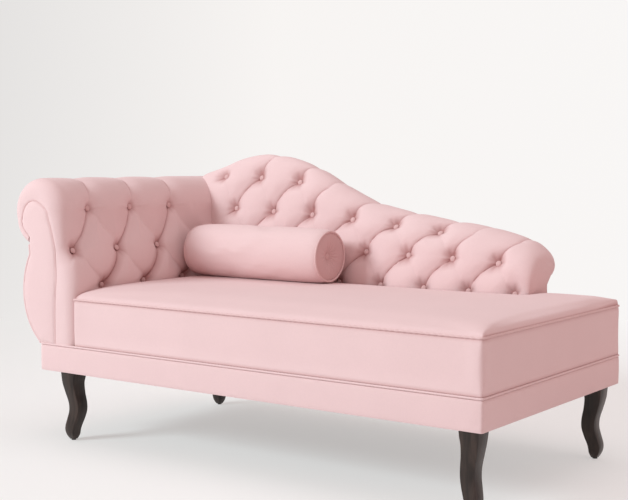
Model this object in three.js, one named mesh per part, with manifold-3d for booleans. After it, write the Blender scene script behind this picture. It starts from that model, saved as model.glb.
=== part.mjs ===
// A fainting couch: one rolled and buttoned arm, a buttoned back that slopes to the foot end,
// a boxed seat on a covered rail, four sawn cabriole legs and a loose bolster.
// Millimetres, +Z up. While it is built, x runs from the head end of the base to its foot end,
// y from its front to its rear, and z from the floor. The last lines centre it on its box.
import * as THREE from 'three';
import { mergeVertices } from 'three/addons/utils/BufferGeometryUtils.js';
import Module from 'manifold-3d';

const wasm = await Module();
wasm.setup();

// An amount too small to see. A sum that falls this short still counts as whole.
const hair = 1e-6;

// Clearances and cloth
const fit = 0.3;
const cutOver = 6;
const cloth = 3;
const weltRadius = 3;
const flatness = 0.05;
const softFlatness = 0.45;

// Base
const base = { length: 1500, depth: 800, height: 80, headCorner: 26, footCorner: 12 };
const rail = { thickness: 25, underside: 1.8, crossWidth: 30 };
const webbing = { thickness: 2, setIn: 8, strap: 52, acrossCount: 7, alongCount: 3 };
const dustCover = { thickness: 1.2, setIn: 7, legRoom: 3 };

// Legs
const leg = {
  height: 204, top: 54, curl: 10.3, curlAcross: 7.2, headInset: 120, footInset: 39.5,
  frontInset: 32, rearHeadInset: 107, rearFootInset: 72,
};
const legBlock = { along: 96, across: 92, height: 40 };
const legBolt = { radius: 4, below: 38, shift: 14, room: 0.4 };
const glide = { radius: 7, thickness: 3 };

// Seat
const seat = { side: 139, crown: 32, crownRun: 46, draw: 5 };

// Arm
const arm = {
  width: 157, scrollRadius: 100, scrollInset: 8, scrollRise: 220, neckOut: 35, neckDrop: 25,
  bulge: 65, footIn: 4, edgeRadius: 40, skirtRadius: 6, facingThickness: 14, scrollSweep: 252,
};
const armPad = { cover: 24, foam: 20, panel: 6, board: 18, poleRadius: 20, panelSweep: 200 };

// Back
const back = {
  footGap: 202, headStart: 10, setback: 168, rise: 394, leanDegrees: 10.6, rollRadius: 58,
  rollSetback: 50, rollStart: 95, neckSetback: 43, footEdge: 40, headEdge: 20,
};
const backPad = { cover: 24, foam: 20, panel: 9, upright: 22 };

// Buttons and their tufts. On the back each column is a little nearer to the last one than
// that one was to the one before, by twice the ease, and a row drops by its ease per length.
// Each row also stands a step nearer to the foot than the row under it. That step eases off
// over a short length before the rounded ends.
const button = { radius: 11, height: 7, twine: 3, twineRoom: 0.4, seatDepth: 15 };
const tuft = { depth: 22, reach: 17, pleatDepth: 8, pleatReach: 12, steps: 3 };
const armTuft = { pitch: 179, rowPitch: 121, firstColumn: 137, columns: 3, rows: 3 };
const backTuft = {
  start: 174, footMargin: 49.2, ease: 0.85, rowPitch: 111, rowEaseShare: 0.0227, columns: 7,
  rowShift: 12.5, shiftEase: 60,
};

// Bolster
const bolster = {
  length: 527, radius: 84, armGap: 6, backGap: 3, endDraw: 9, capDip: 14, welt: 3.5, sides: 24,
};

// Levels and places that follow from the sizes above
const bandTop = leg.height + base.height;
const padBottom = bandTop + weltRadius + fit;
const railTop = bandTop - weltRadius;
const webTop = railTop + fit + webbing.thickness;
const uprightBottom = webTop + fit;
const pipingLevel = bandTop + seat.side;
const seatTop = pipingLevel + seat.crown;
const backFoot = base.length - back.footGap;
const backFront = base.depth - back.setback;
const rollLine = base.depth - back.rollSetback;
const lean = THREE.MathUtils.degToRad(back.leanDegrees);
const leanOut = new THREE.Vector2(-Math.cos(lean), Math.sin(lean));
const leanUp = new THREE.Vector2(Math.sin(lean), Math.cos(lean));

// Finishes
const finish = (color, roughness, metalness = 0) =>
  new THREE.MeshStandardMaterial({ color, roughness, metalness });
const pink = finish(0xe6c3c2, 0.92);
const timber = finish(0xc9a77c, 0.8);
const espresso = finish(0x3a312c, 0.42);
const foam = finish(0xf0e6c8, 0.95);
const steel = finish(0x9a9c9e, 0.35, 1);
const plastic = finish(0x2b2b2b, 0.6);
const lining = finish(0x2e2e30, 0.95);
const jute = finish(0xb89b6c, 0.95);
const twineFinish = finish(0xd9b5b4, 0.9);

const couch = new THREE.Group();

// Solids from points and faces

function solidFromFaces(points, faces) {
  const index = new Map();
  const kept = [];
  const place = points.map((p) => {
    const key = p.map((v) => Math.round(v * 1e4)).join();
    if (!index.has(key)) {
      index.set(key, kept.length);
      kept.push(p);
    }
    return index.get(key);
  });
  let triangles = faces.map((f) => f.map((i) => place[i]));
  triangles = triangles.filter(([a, b, c]) => a !== b && b !== c && a !== c);
  const six = triangles.reduce((sum, [a, b, c]) => {
    const [p, q, r] = [kept[a], kept[b], kept[c]];
    return sum + p[0] * (q[1] * r[2] - q[2] * r[1]) - p[1] * (q[0] * r[2] - q[2] * r[0])
      + p[2] * (q[0] * r[1] - q[1] * r[0]);
  }, 0);
  if (six < 0) triangles = triangles.map(([a, b, c]) => [a, c, b]);
  const mesh = new wasm.Mesh({
    numProp: 3,
    vertProperties: new Float32Array(kept.flat()),
    triVerts: new Uint32Array(triangles.flat()),
  });
  return new wasm.Manifold(mesh);
}

// A flat cap over a ring. While it is cut up, its points are moved by a hair, each by its own
// amount, because a point that lies straight between its neighbours would be left out.
function capFaces(ring, shadow, start, outward) {
  const [across, up] = shadow;
  const flat = ring.map((p, i) =>
    new THREE.Vector2(p[across] + hair * (i % 3), p[up] + hair * (i % 5)));
  const turn = Math.sign(THREE.ShapeUtils.area(flat));
  return THREE.ShapeUtils.triangulateShape(flat, []).map((t) => {
    const own = Math.sign(THREE.ShapeUtils.area(t.map((i) => flat[i])));
    const same = own === turn;
    const [a, b, c] = t.map((i) => i + start);
    return same === outward ? [a, b, c] : [a, c, b];
  });
}

// Rings of equal length joined one to the next, with a flat cap on the first and last.
// shadow names the two axes that the caps are cut up in, and flip turns a cell's diagonal.
function loft(rings, shadow, flip = () => false) {
  const count = rings[0].length;
  const faces = [];
  for (let r = 0; r + 1 < rings.length; r += 1) {
    for (let i = 0; i < count; i += 1) {
      const next = (i + 1) % count;
      const [a, b] = [r * count + i, r * count + next];
      const [c, d] = [a + count, b + count];
      if (flip(r, i)) faces.push([a, b, c], [b, d, c]);
      else faces.push([a, b, d], [a, d, c]);
    }
  }
  faces.push(...capFaces(rings[0], shadow, 0, false));
  faces.push(...capFaces(rings.at(-1), shadow, count * (rings.length - 1), true));
  return solidFromFaces(rings.flat(), faces);
}

function loop(rings) {
  const count = rings[0].length;
  const faces = [];
  rings.forEach((ring, r) => {
    const after = ((r + 1) % rings.length) * count;
    ring.forEach((p, i) => {
      const next = (i + 1) % count;
      faces.push([r * count + i, r * count + next, after + next]);
      faces.push([r * count + i, after + next, after + i]);
    });
  });
  return solidFromFaces(rings.flat(), faces);
}

function solidFromGeometry(geometry) {
  geometry.deleteAttribute('normal');
  geometry.deleteAttribute('uv');
  const merged = mergeVertices(geometry, 1e-4);
  const position = merged.getAttribute('position');
  const points = Array.from({ length: position.count }, (_, i) =>
    [position.getX(i), position.getY(i), position.getZ(i)]);
  const list = Array.from(merged.index.array);
  const faces = Array.from({ length: list.length / 3 }, (_, i) => list.slice(3 * i, 3 * i + 3));
  return solidFromFaces(points, faces);
}

function box(x, y, z) {
  const geometry = new THREE.BoxGeometry(x[1] - x[0], y[1] - y[0], z[1] - z[0]);
  geometry.translate((x[0] + x[1]) / 2, (y[0] + y[1]) / 2, (z[0] + z[1]) / 2);
  return solidFromGeometry(geometry);
}

// An outline pushed along an axis: x takes (y, z) points, y takes (x, z), z takes (x, y).
function prism(axis, outline, from, to, holes = []) {
  const shape = new THREE.Shape(outline);
  shape.holes = holes.map((hole) => new THREE.Path(hole));
  const geometry = new THREE.ExtrudeGeometry(shape, { depth: to - from, bevelEnabled: false });
  const turn = new THREE.Matrix4();
  const [px, py, pz] = [new THREE.Vector3(1, 0, 0), new THREE.Vector3(0, 1, 0), new THREE.Vector3(0, 0, 1)];
  if (axis === 'x') turn.makeBasis(py, pz, px).setPosition(from, 0, 0);
  if (axis === 'y') turn.makeBasis(px, pz, py.clone().negate()).setPosition(0, to, 0);
  if (axis === 'z') turn.makeBasis(px, py, pz).setPosition(0, 0, from);
  geometry.applyMatrix4(turn);
  return solidFromGeometry(geometry);
}

function lathe(profile, sides, axis, place) {
  const geometry = new THREE.LatheGeometry(profile.map((p) => new THREE.Vector2(...p)), sides);
  const turn = new THREE.Quaternion().setFromUnitVectors(new THREE.Vector3(0, 1, 0), axis);
  geometry.applyQuaternion(turn);
  geometry.translate(...place);
  return solidFromGeometry(geometry);
}

function rod(from, to, radius, sides) {
  const way = to.clone().sub(from);
  const length = way.length();
  const profile = [[0, 0], [radius, 0], [radius, length], [0, length]];
  return lathe(profile, sides, way.normalize(), from.toArray());
}

// A round welt along points that lie in one plane, whose normal is given.
function welt(points, normal, radius, closed, sides = 6) {
  const rings = points.map((p, i) => {
    const before = points[closed ? (i + points.length - 1) % points.length : Math.max(i - 1, 0)];
    const after = points[closed ? (i + 1) % points.length : Math.min(i + 1, points.length - 1)];
    const side = after.clone().sub(before).cross(normal).normalize();
    return Array.from({ length: sides }, (_, k) => {
      const turn = (2 * Math.PI * k) / sides;
      const at = p.clone().addScaledVector(side, radius * Math.cos(turn));
      return at.addScaledVector(normal, radius * Math.sin(turn)).toArray();
    });
  });
  if (closed) return loop(rings);
  const along = points[1].clone().sub(points[0]);
  const widest = ['x', 'y', 'z'].sort((a, b) => Math.abs(along[a]) - Math.abs(along[b]));
  return loft(rings, widest.slice(0, 2).map((name) => 'xyz'.indexOf(name)));
}

function add(name, solid, material, tolerance = flatness) {
  const mesh = solid.simplify(tolerance).getMesh();
  const geometry = new THREE.BufferGeometry();
  geometry.setAttribute('position', new THREE.BufferAttribute(new Float32Array(mesh.vertProperties), 3));
  geometry.setIndex(new THREE.BufferAttribute(new Uint32Array(mesh.triVerts), 1));
  geometry.computeVertexNormals();
  const node = new THREE.Mesh(geometry, material);
  node.name = name;
  couch.add(node);
}

// The base outline, its corners rounded, pulled in by an inset

function roundedOutline(x0, x1, y0, y1, headRadius, footRadius, arcSteps = 4) {
  const points = [];
  const corner = (cx, cy, radius, startTurn) => {
    for (let k = 0; k <= arcSteps; k += 1) {
      const turn = startTurn + (Math.PI / 2) * (k / arcSteps);
      points.push(new THREE.Vector2(cx + radius * Math.cos(turn), cy + radius * Math.sin(turn)));
    }
  };
  corner(x0 + headRadius, y0 + headRadius, headRadius, Math.PI);
  corner(x1 - footRadius, y0 + footRadius, footRadius, 1.5 * Math.PI);
  corner(x1 - footRadius, y1 - footRadius, footRadius, 0);
  corner(x0 + headRadius, y1 - headRadius, headRadius, 0.5 * Math.PI);
  return points;
}

function baseOutline(inset) {
  return roundedOutline(inset, base.length - inset, inset, base.depth - inset,
    Math.max(base.headCorner - inset, fit), Math.max(base.footCorner - inset, fit));
}

// Base frame: rails, cross rail and leg blocks inside the fabric band

const railBottom = leg.height + rail.underside;
const frameSpace = prism('z', baseOutline(cloth + fit), railBottom - cutOver, railTop + cutOver);
const inner = cloth + fit + rail.thickness;

function addBaseFrame() {
  const z = [railBottom, railTop];
  const [xEnd, yEnd] = [base.length, base.depth];
  add('front_rail', box([0, xEnd], [0, inner], z).intersect(frameSpace), timber);
  add('rear_rail', box([0, xEnd], [yEnd - inner, yEnd], z).intersect(frameSpace), timber);
  const between = [inner + fit, yEnd - inner - fit];
  add('head_end_rail', box([0, inner], between, z).intersect(frameSpace), timber);
  add('foot_end_rail', box([xEnd - inner, xEnd], between, z).intersect(frameSpace), timber);
  const middle = [xEnd / 2 - rail.crossWidth / 2, xEnd / 2 + rail.crossWidth / 2];
  add('cross_rail', box(middle, between, z), timber);
}

function addBand() {
  const band = prism('z', baseOutline(0), leg.height, railTop, [baseOutline(cloth)]);
  add('rail_cover', band, pink);
  const line = baseOutline(weltRadius / 2).map((p) => new THREE.Vector3(p.x, p.y, bandTop));
  add('seat_bottom_piping', welt(line, new THREE.Vector3(0, 0, 1), weltRadius, true), pink);
}

// Legs: a square section that is lofted along a double curve, flaring out at the foot

const legRings = [
  { heightShare: 0, sizeShare: 0.3, curlShare: 0.15 },
  { heightShare: 0.06, sizeShare: 0.52, curlShare: 0.22 },
  { heightShare: 0.13, sizeShare: 0.62, curlShare: 0.3 },
  { heightShare: 0.2, sizeShare: 0.67, curlShare: 0.11 },
  { heightShare: 0.3, sizeShare: 0.705, curlShare: -0.45 },
  { heightShare: 0.42, sizeShare: 0.72, curlShare: -0.97 },
  { heightShare: 0.54, sizeShare: 0.735, curlShare: -0.92 },
  { heightShare: 0.68, sizeShare: 0.785, curlShare: -0.38 },
  { heightShare: 0.82, sizeShare: 0.87, curlShare: 0.03 },
  { heightShare: 0.92, sizeShare: 0.96, curlShare: 0 },
  { heightShare: 1, sizeShare: 1, curlShare: 0 },
];
const legBevelShare = 0.12;

function legSolid({ x, y, outX, outY }) {
  const foot = glide.thickness + fit;
  const top = railBottom - fit;
  const rings = legRings.map((ring) => {
    const z = THREE.MathUtils.lerp(foot, top, ring.heightShare);
    const half = (leg.top / 2) * ring.sizeShare;
    const bevel = half * legBevelShare;
    const cx = x + outX * leg.curl * ring.curlShare;
    const cy = y + outY * leg.curlAcross * ring.curlShare;
    const corners = [[-1, -1, 1], [1, -1, 0], [1, 1, 1], [-1, 1, 0]];
    return corners.flatMap(([sx, sy, first]) => {
      const along = [cx + sx * (half - bevel), cy + sy * half, z];
      const across = [cx + sx * half, cy + sy * (half - bevel), z];
      return first ? [across, along] : [along, across];
    });
  });
  return loft(rings, [0, 1]);
}

const [legHeadX, legFootX] = [leg.headInset, base.length - leg.footInset];
const legFrontY = leg.frontInset;
const [rearHeadY, rearFootY] = [base.depth - leg.rearHeadInset, base.depth - leg.rearFootInset];
const legPlaces = [
  { name: 'front_head', x: legHeadX, y: legFrontY, outX: -1, outY: -1 },
  { name: 'front_foot', x: legFootX, y: legFrontY, outX: 1, outY: -1 },
  { name: 'rear_head', x: legHeadX, y: rearHeadY, outX: -1, outY: 1 },
  { name: 'rear_foot', x: legFootX, y: rearFootY, outX: 1, outY: 1 },
];

// The block over each leg fills the corner behind the rails, or spans from the leg to the rail
function blockSpan(place) {
  const footFace = base.length - inner - fit;
  const x = place.outX > 0 ? [footFace - legBlock.along, footFace]
    : [place.x - legBlock.along / 2, place.x + legBlock.along / 2];
  const y = place.outY < 0 ? [inner + fit, inner + fit + legBlock.across]
    : [place.y - leg.top / 2, base.depth - inner - fit];
  return { x, y };
}

function addLegs() {
  const blockTop = railBottom + legBlock.height;
  const shiftX = leg.curl * legRings[0].curlShare;
  const shiftY = leg.curlAcross * legRings[0].curlShare;
  legPlaces.forEach((place) => {
    const span = blockSpan(place);
    const boltX = place.x - (place.outX > 0 ? legBolt.shift : 0);
    const boltY = place.y - place.outY * legBolt.shift;
    const boltFrom = new THREE.Vector3(boltX, boltY, railBottom - legBolt.below);
    const boltTo = new THREE.Vector3(boltX, boltY, blockTop);
    const holeFrom = boltFrom.clone().setZ(boltFrom.z - fit);
    const holeTo = boltTo.clone().setZ(blockTop + cutOver);
    const hole = rod(holeFrom, holeTo, legBolt.radius + legBolt.room, 8);
    add(`leg_${place.name}`, legSolid(place).subtract(hole), espresso);
    const block = box(span.x, span.y, [railBottom, blockTop]).subtract(hole);
    add(`leg_block_${place.name}`, block, timber);
    add(`leg_bolt_${place.name}`, rod(boltFrom, boltTo, legBolt.radius, 8), steel);
    const soleX = place.x + place.outX * shiftX;
    const soleY = place.y + place.outY * shiftY;
    const sole = new THREE.Vector3(soleX, soleY, 0);
    const pad = rod(sole, sole.clone().setZ(glide.thickness), glide.radius, 12);
    add(`leg_glide_${place.name}`, pad, plastic);
  });
}

function addWebbing() {
  const [across, along] = [webbing.acrossCount, webbing.alongCount];
  const edge = webbing.setIn;
  const stepX = (base.length - 2 * edge - webbing.strap) / across;
  const stepY = (base.depth - 2 * edge - webbing.strap) / along;
  let net = prism('z', baseOutline(edge), railTop + fit, webTop);
  for (let i = 0; i < across; i += 1) {
    for (let j = 0; j < along; j += 1) {
      const [x, y] = [edge + webbing.strap + i * stepX, edge + webbing.strap + j * stepY];
      const gap = [[x, x + stepX - webbing.strap], [y, y + stepY - webbing.strap]];
      net = net.subtract(box(...gap, [railTop, webTop + cutOver]));
    }
  }
  add('seat_webbing', net, jute);
}

function addDustCover() {
  const z = [railBottom - fit - dustCover.thickness, railBottom - fit];
  let sheet = prism('z', baseOutline(dustCover.setIn), z[0], z[1]);
  legPlaces.forEach((place) => {
    const half = leg.top / 2 + dustCover.legRoom;
    const room = box([place.x - half, place.x + half], [place.y - half, place.y + half],
      [z[0] - cutOver, z[1] + cutOver]);
    sheet = sheet.subtract(room);
  });
  add('dust_cover', sheet, lining);
}

// Seat: a boxed block round the foot of the back, its sides drawn in at the piping and its
// top crowned. inset shrinks the open sides and the top, for the foam and the cover's inside.

function seatOutline(inset, tight) {
  const [x0, x1] = [arm.width + fit + tight, base.length - inset];
  const [y0, y1] = [inset, base.depth - inset];
  const radius = Math.max(base.footCorner - inset, fit);
  const round = roundedOutline(x0, x1, y0, y1, fit, radius);
  const notchX = backFoot + fit + tight;
  const notchY = backFront - fit - tight;
  const kept = round.filter((p) => p.x > notchX + radius || p.y < notchY - radius);
  const tail = [[notchX, y1], [notchX, notchY], [x0, notchY]].map(([x, y]) => new THREE.Vector2(x, y));
  return kept.concat(tail);
}

const seatSides = [
  { levelShare: 0, drawShare: 0.8 }, { levelShare: 0.09, drawShare: 0.25 },
  { levelShare: 0.5, drawShare: 0 }, { levelShare: 0.91, drawShare: 0.25 },
  { levelShare: 1, drawShare: 1 },
];
const crownStepShares = [0, 0.08, 0.26, 0.55, 1];

function seatWalls(inset, bottom) {
  const levels = seatSides.map((side) => ({
    z: THREE.MathUtils.lerp(padBottom, pipingLevel - inset, side.levelShare),
    in: inset + seat.draw * side.drawShare,
  }));
  levels[0].z = Math.min(bottom, levels[0].z);
  levels.push({ z: seatTop + cutOver, in: inset + seat.draw });
  const rings = levels.map((level) => seatOutline(level.in, inset).map((p) => [p.x, p.y, level.z]));
  return loft(rings, [0, 1]);
}

// The share of the crown that is reached at a distance from an open edge
function crownShare(distance) {
  const t = THREE.MathUtils.clamp(distance / seat.crownRun, 0, 1);
  return Math.sqrt(1 - (1 - t) ** 2);
}

function seatCrown(inset, bottom) {
  const edge = inset + seat.draw;
  const [farX, farY] = [base.length - edge, base.depth - edge];
  const run = crownStepShares.map((share) => share * seat.crownRun);
  const [riseX, riseY] = [farX, farY].map((far) => run.map((d) => far - d).reverse());
  const middleX = (arm.width + backFoot) / 2;
  const xs = [arm.width - cutOver, middleX, backFoot, ...riseX, base.length + cutOver];
  const near = run.map((d) => edge + d);
  const ys = [-cutOver, ...near, backFront / 2, backFront, ...riseY, base.depth + cutOver];
  const height = (x, y) => pipingLevel - inset
    + seat.crown * crownShare(farX - x) * crownShare(y - edge) * crownShare(farY - y);
  return loft(xs.map((x) => [
    ...ys.map((y) => [x, y, height(x, y)]),
    [x, ys.at(-1), bottom - cutOver],
    [x, ys[0], bottom - cutOver],
  ]), [1, 2]);
}

const seatBlock = (inset, bottom) => seatWalls(inset, bottom).intersect(seatCrown(inset, bottom));

// The upper piping runs from the arm along the front, round the foot end and to the back
function seatPipingLine() {
  const inset = weltRadius / 2;
  const radius = base.footCorner - inset;
  const [start, footFace] = [arm.width + fit, base.length - inset];
  const round = roundedOutline(start, footFace, inset, base.depth - inset, fit, radius);
  const footEnd = round.filter((p) => p.x > footFace - radius - fit);
  const ends = [new THREE.Vector2(start, inset), new THREE.Vector2(backFoot + fit, base.depth - inset)];
  return [ends[0], ...footEnd, ends[1]].map((p) => new THREE.Vector3(p.x, p.y, pipingLevel));
}

function addSeat() {
  add('seat_foam', seatBlock(cloth + fit, uprightBottom), foam);
  const inside = seatBlock(cloth, padBottom - cutOver);
  add('seat_cover', seatBlock(0, padBottom).subtract(inside), pink);
  add('seat_top_piping', welt(seatPipingLine(), new THREE.Vector3(0, 0, 1), weltRadius, false), pink);
}

// Tufts: a dimple at each button and a shallow pleat along each diagonal between buttons.
// u and v count half columns and rows, with a button wherever their sum is even.

function tuftDepth(u, v, halfPitch, rowPitch, topRow, isButton) {
  const [i, j] = [Math.floor(u), Math.floor(v)];
  let nearest = Infinity;
  for (let a = i - 1; a <= i + 2; a += 1) {
    for (let b = j - 1; b <= j + 2; b += 1) {
      if ((a + b) % 2 !== 0 || !isButton(a, b)) continue;
      nearest = Math.min(nearest, Math.hypot((u - a) * halfPitch, (v - b) * rowPitch));
    }
  }
  const [fu, fv] = [u - i, v - j];
  const rising = (i + j) % 2 === 0;
  const across = rising ? Math.abs(fu - fv) : Math.abs(fu + fv - 1);
  let pleat = (across * halfPitch * rowPitch) / Math.hypot(halfPitch, rowPitch);
  if (v > topRow) {
    const column = Math.round((u - topRow) / 2) * 2 + topRow;
    pleat = Math.abs(u - column) * halfPitch;
  }
  const dimple = tuft.depth * Math.exp(-((nearest / tuft.reach) ** 2) / 2);
  return Math.max(dimple, tuft.pleatDepth * Math.exp(-((pleat / tuft.pleatReach) ** 2)));
}

// Arm: its section follows the inner side up from the seat, over the scroll to the neck,
// and down the bulging outer side. a is the length along it from the seat line.

const scroll = new THREE.Vector2(-arm.scrollInset, seatTop + arm.scrollRise);
const scrollEdge = scroll.x + arm.scrollRadius;
const innerRiseShares = [0.41, 0.64];
const innerCurve = new THREE.CubicBezierCurve(
  new THREE.Vector2(arm.width, seatTop),
  new THREE.Vector2(arm.width, seatTop + innerRiseShares[0] * arm.scrollRise),
  new THREE.Vector2(scrollEdge, seatTop + innerRiseShares[1] * arm.scrollRise),
  new THREE.Vector2(scrollEdge, scroll.y),
);
const innerLength = innerCurve.getLength();
const sweepEnd = THREE.MathUtils.degToRad(arm.scrollSweep);
const armEnd = innerLength + arm.scrollRadius * sweepEnd;
const armStart = padBottom - seatTop;

function armPoint(a) {
  if (a <= 0) return { at: new THREE.Vector2(arm.width, seatTop + a), out: new THREE.Vector2(1, 0) };
  if (a <= innerLength) {
    const way = innerCurve.getTangentAt(a / innerLength);
    return { at: innerCurve.getPointAt(a / innerLength), out: new THREE.Vector2(way.y, -way.x) };
  }
  const turn = (a - innerLength) / arm.scrollRadius;
  const out = new THREE.Vector2(Math.cos(turn), Math.sin(turn));
  return { at: scroll.clone().addScaledVector(out, arm.scrollRadius), out };
}

const neckZ = scroll.y - arm.scrollRadius - arm.neckDrop;
const armDrop = neckZ - padBottom;
const bulgePulls = [{ outShare: 1.15, levelShare: 0.737 }, { outShare: 1.31, levelShare: 0.286 }];
const outerCurve = new THREE.CubicBezierCurve(
  new THREE.Vector2(-arm.neckOut, neckZ),
  ...bulgePulls.map((pull) =>
    new THREE.Vector2(-pull.outShare * arm.bulge, padBottom + pull.levelShare * armDrop)),
  new THREE.Vector2(arm.footIn, padBottom),
);
const outerStepShares = [0, 0.14, 0.3, 0.46, 0.62, 0.8, 1];

function outerPoint(share) {
  const way = outerCurve.getTangent(share);
  return { at: outerCurve.getPoint(share), out: new THREE.Vector2(way.y, -way.x) };
}

// Points along the arm's section, close together where it is tufted and wider apart past the
// top of the scroll. Those of the outer side have no length along it.
const armRowStep = armTuft.rowPitch / tuft.steps;
const stepsUnderSeat = 2;
const fineEnd = innerLength + arm.scrollRadius * THREE.MathUtils.degToRad(101);
const coarseCount = 6;

function armLengths() {
  const lengths = [armStart];
  for (let k = -stepsUnderSeat; k * armRowStep < fineEnd; k += 1) lengths.push(k * armRowStep);
  const coarseStart = lengths.at(-1);
  for (let k = 1; k <= coarseCount; k += 1) {
    lengths.push(THREE.MathUtils.lerp(coarseStart, armEnd, k / coarseCount));
  }
  return lengths;
}

const armOutline = [
  ...armLengths().map((a) => ({ ...armPoint(a), a })),
  ...outerStepShares.map((share) => ({ ...outerPoint(share), a: null })),
];

function insetPoint(sample, inset) {
  return sample.at.clone().addScaledVector(sample.out, -inset);
}

// The width of the border between the arm's edge and its facing, along the section
const facingBorders = [
  { alongShare: 0, borderShare: 2.17 }, { alongShare: 0.25, borderShare: 2.12 },
  { alongShare: 0.35, borderShare: 1.75 }, { alongShare: 0.41, borderShare: 1.35 },
  { alongShare: 0.48, borderShare: 1.2 }, { alongShare: 0.56, borderShare: 1.55 },
  { alongShare: 0.68, borderShare: 1.62 }, { alongShare: 0.78, borderShare: 1.37 },
  { alongShare: 0.85, borderShare: 1.1 }, { alongShare: 0.93, borderShare: 0.72 },
  { alongShare: 1, borderShare: 0.42 },
];

function facingBorder(sample) {
  if (sample.a === null) return arm.skirtRadius;
  const share = (sample.a - armStart) / (armEnd - armStart);
  const next = facingBorders.findIndex((b) => b.alongShare >= share);
  const [low, high] = [facingBorders[Math.max(next - 1, 0)], facingBorders[next]];
  const gap = high.alongShare - low.alongShare;
  const blend = gap > 0 ? (share - low.alongShare) / gap : 0;
  return arm.edgeRadius * THREE.MathUtils.lerp(low.borderShare, high.borderShare, blend);
}

function edgeRadiusOf(sample) {
  if (sample.a === null) return arm.skirtRadius - fit;
  return Math.min(arm.edgeRadius, facingBorder(sample) - weltRadius - fit);
}

const armIsButton = (i, j) => j >= 0 && j < armTuft.rows && i >= -1 && i < 2 * armTuft.columns;
const tuftFadeShare = 0.6;

function armTuftAt(sample, y) {
  if (sample.a === null || sample.a < -armRowStep - fit) return 0;
  const u = (y - armTuft.firstColumn) / (armTuft.pitch / 2);
  const v = sample.a / armTuft.rowPitch;
  const fade = THREE.MathUtils.clamp((armEnd - sample.a) / arm.scrollRadius - tuftFadeShare, 0, 1);
  return fade * tuftDepth(u, v, armTuft.pitch / 2, armTuft.rowPitch, armTuft.rows - 1, armIsButton);
}

const radians = (list) => list.map((degrees) => THREE.MathUtils.degToRad(degrees));
const armEdgeTurns = radians([90, 60, 30, 0]);
const armColumnStep = armTuft.pitch / 2 / tuft.steps;

function armColumns() {
  const columns = [];
  const first = armTuft.firstColumn - armTuft.pitch / 2;
  for (let k = 0; ; k += 1) {
    const y = first + k * armColumnStep;
    if (y > base.depth - arm.edgeRadius - armColumnStep / 2) break;
    columns.push({ y, k });
  }
  return columns;
}

function armBody() {
  const rings = [];
  const flips = [];
  const edgeRing = (turn, mirrored) => armOutline.map((sample) => {
    const radius = edgeRadiusOf(sample);
    const depth = radius * (1 - Math.sin(turn));
    const y = mirrored ? base.depth - depth : depth;
    const dip = Math.cos(turn) * armTuftAt(sample, y);
    const p = insetPoint(sample, Math.max(radius * (1 - Math.cos(turn)), dip));
    return [p.x, y, p.y];
  });
  const keep = (ring, column) => {
    rings.push(ring);
    flips.push(column);
  };
  armEdgeTurns.forEach((turn) => keep(edgeRing(turn, false), null));
  armColumns().forEach(({ y, k }) => {
    const ring = armOutline.map((sample) => insetPoint(sample, armTuftAt(sample, y)));
    keep(ring.map((p) => [p.x, y, p.y]), k);
  });
  [...armEdgeTurns].reverse().forEach((turn) => keep(edgeRing(turn, true), null));
  return loft(rings, [0, 2], (r, i) => {
    const sample = armOutline[i];
    if (flips[r] === null || sample.a === null) return false;
    const half = Math.floor(flips[r] / tuft.steps) - 1;
    const row = Math.floor(sample.a / armTuft.rowPitch + hair);
    return (half + row) % 2 !== 0;
  });
}

function armPrism(inset, y, bottom = padBottom) {
  const outline = armOutline.map((sample) => insetPoint(sample, inset));
  outline[0].y = bottom;
  outline.at(-1).y = bottom;
  return prism('y', outline, y[0], y[1]);
}

function armBand(depths, fromA, toA, y, bottom) {
  const kept = armOutline.filter((s) => s.a !== null && s.a >= fromA - fit && s.a <= toA);
  const outer = kept.map((s) => insetPoint(s, depths[0]));
  const inside = kept.map((s) => insetPoint(s, depths[1]));
  outer[0].y = bottom;
  inside[0].y = bottom;
  return prism('y', [...outer, ...inside.reverse()], y[0], y[1]);
}

function facingOutline(grow, bottom) {
  const line = armOutline.map((sample) => insetPoint(sample, facingBorder(sample)));
  const outline = line.map((p, i) => {
    const side = armOutline[i].a === null ? Math.min(grow, fit) : grow;
    const [before, after] = [line[Math.max(i - 1, 0)], line[Math.min(i + 1, line.length - 1)]];
    const way = after.clone().sub(before).normalize();
    return new THREE.Vector2(p.x + way.y * side, p.y - way.x * side);
  });
  outline[0].y = bottom;
  outline.at(-1).y = bottom;
  return outline;
}

// A straight piece of twine from one point to another, three-sided, of a width across
function twinePiece(from, to, width) {
  return rod(from, to, width * Math.SQRT1_2, 3);
}

const domeSteps = [
  { outShare: 0, upShare: 0 }, { outShare: 1, upShare: 0.2 }, { outShare: 0.7, upShare: 0.8 },
  { outShare: 0, upShare: 1 },
];
const domeProfile = domeSteps.map((s) => [s.outShare * button.radius, s.upShare * button.height]);

// A row of covered buttons, each on its twine, tied to the next behind the panel.
// Every place has its point on the smooth surface, the outward way and the depth to the tie.
function buttonRow(places, width, withButtons) {
  const ends = places.map(({ at, out, tie }) => at.clone().addScaledVector(out, -tie));
  let row = null;
  const join = (piece) => {
    row = row ? row.add(piece) : piece;
  };
  places.forEach(({ at, out, tie }) => {
    const seatAt = at.clone().addScaledVector(out, -button.seatDepth);
    const top = withButtons ? seatAt.clone().addScaledVector(out, button.height / 2)
      : at.clone().addScaledVector(out, cutOver);
    join(twinePiece(at.clone().addScaledVector(out, -tie - width / 2), top, width));
    if (withButtons) join(lathe(domeProfile, 8, out, seatAt.toArray()));
  });
  for (let i = 0; i + 1 < ends.length; i += 1) join(twinePiece(ends[i], ends[i + 1], width));
  return row;
}

const armTie = armPad.cover + fit + armPad.foam + fit + armPad.panel + button.twine;

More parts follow.
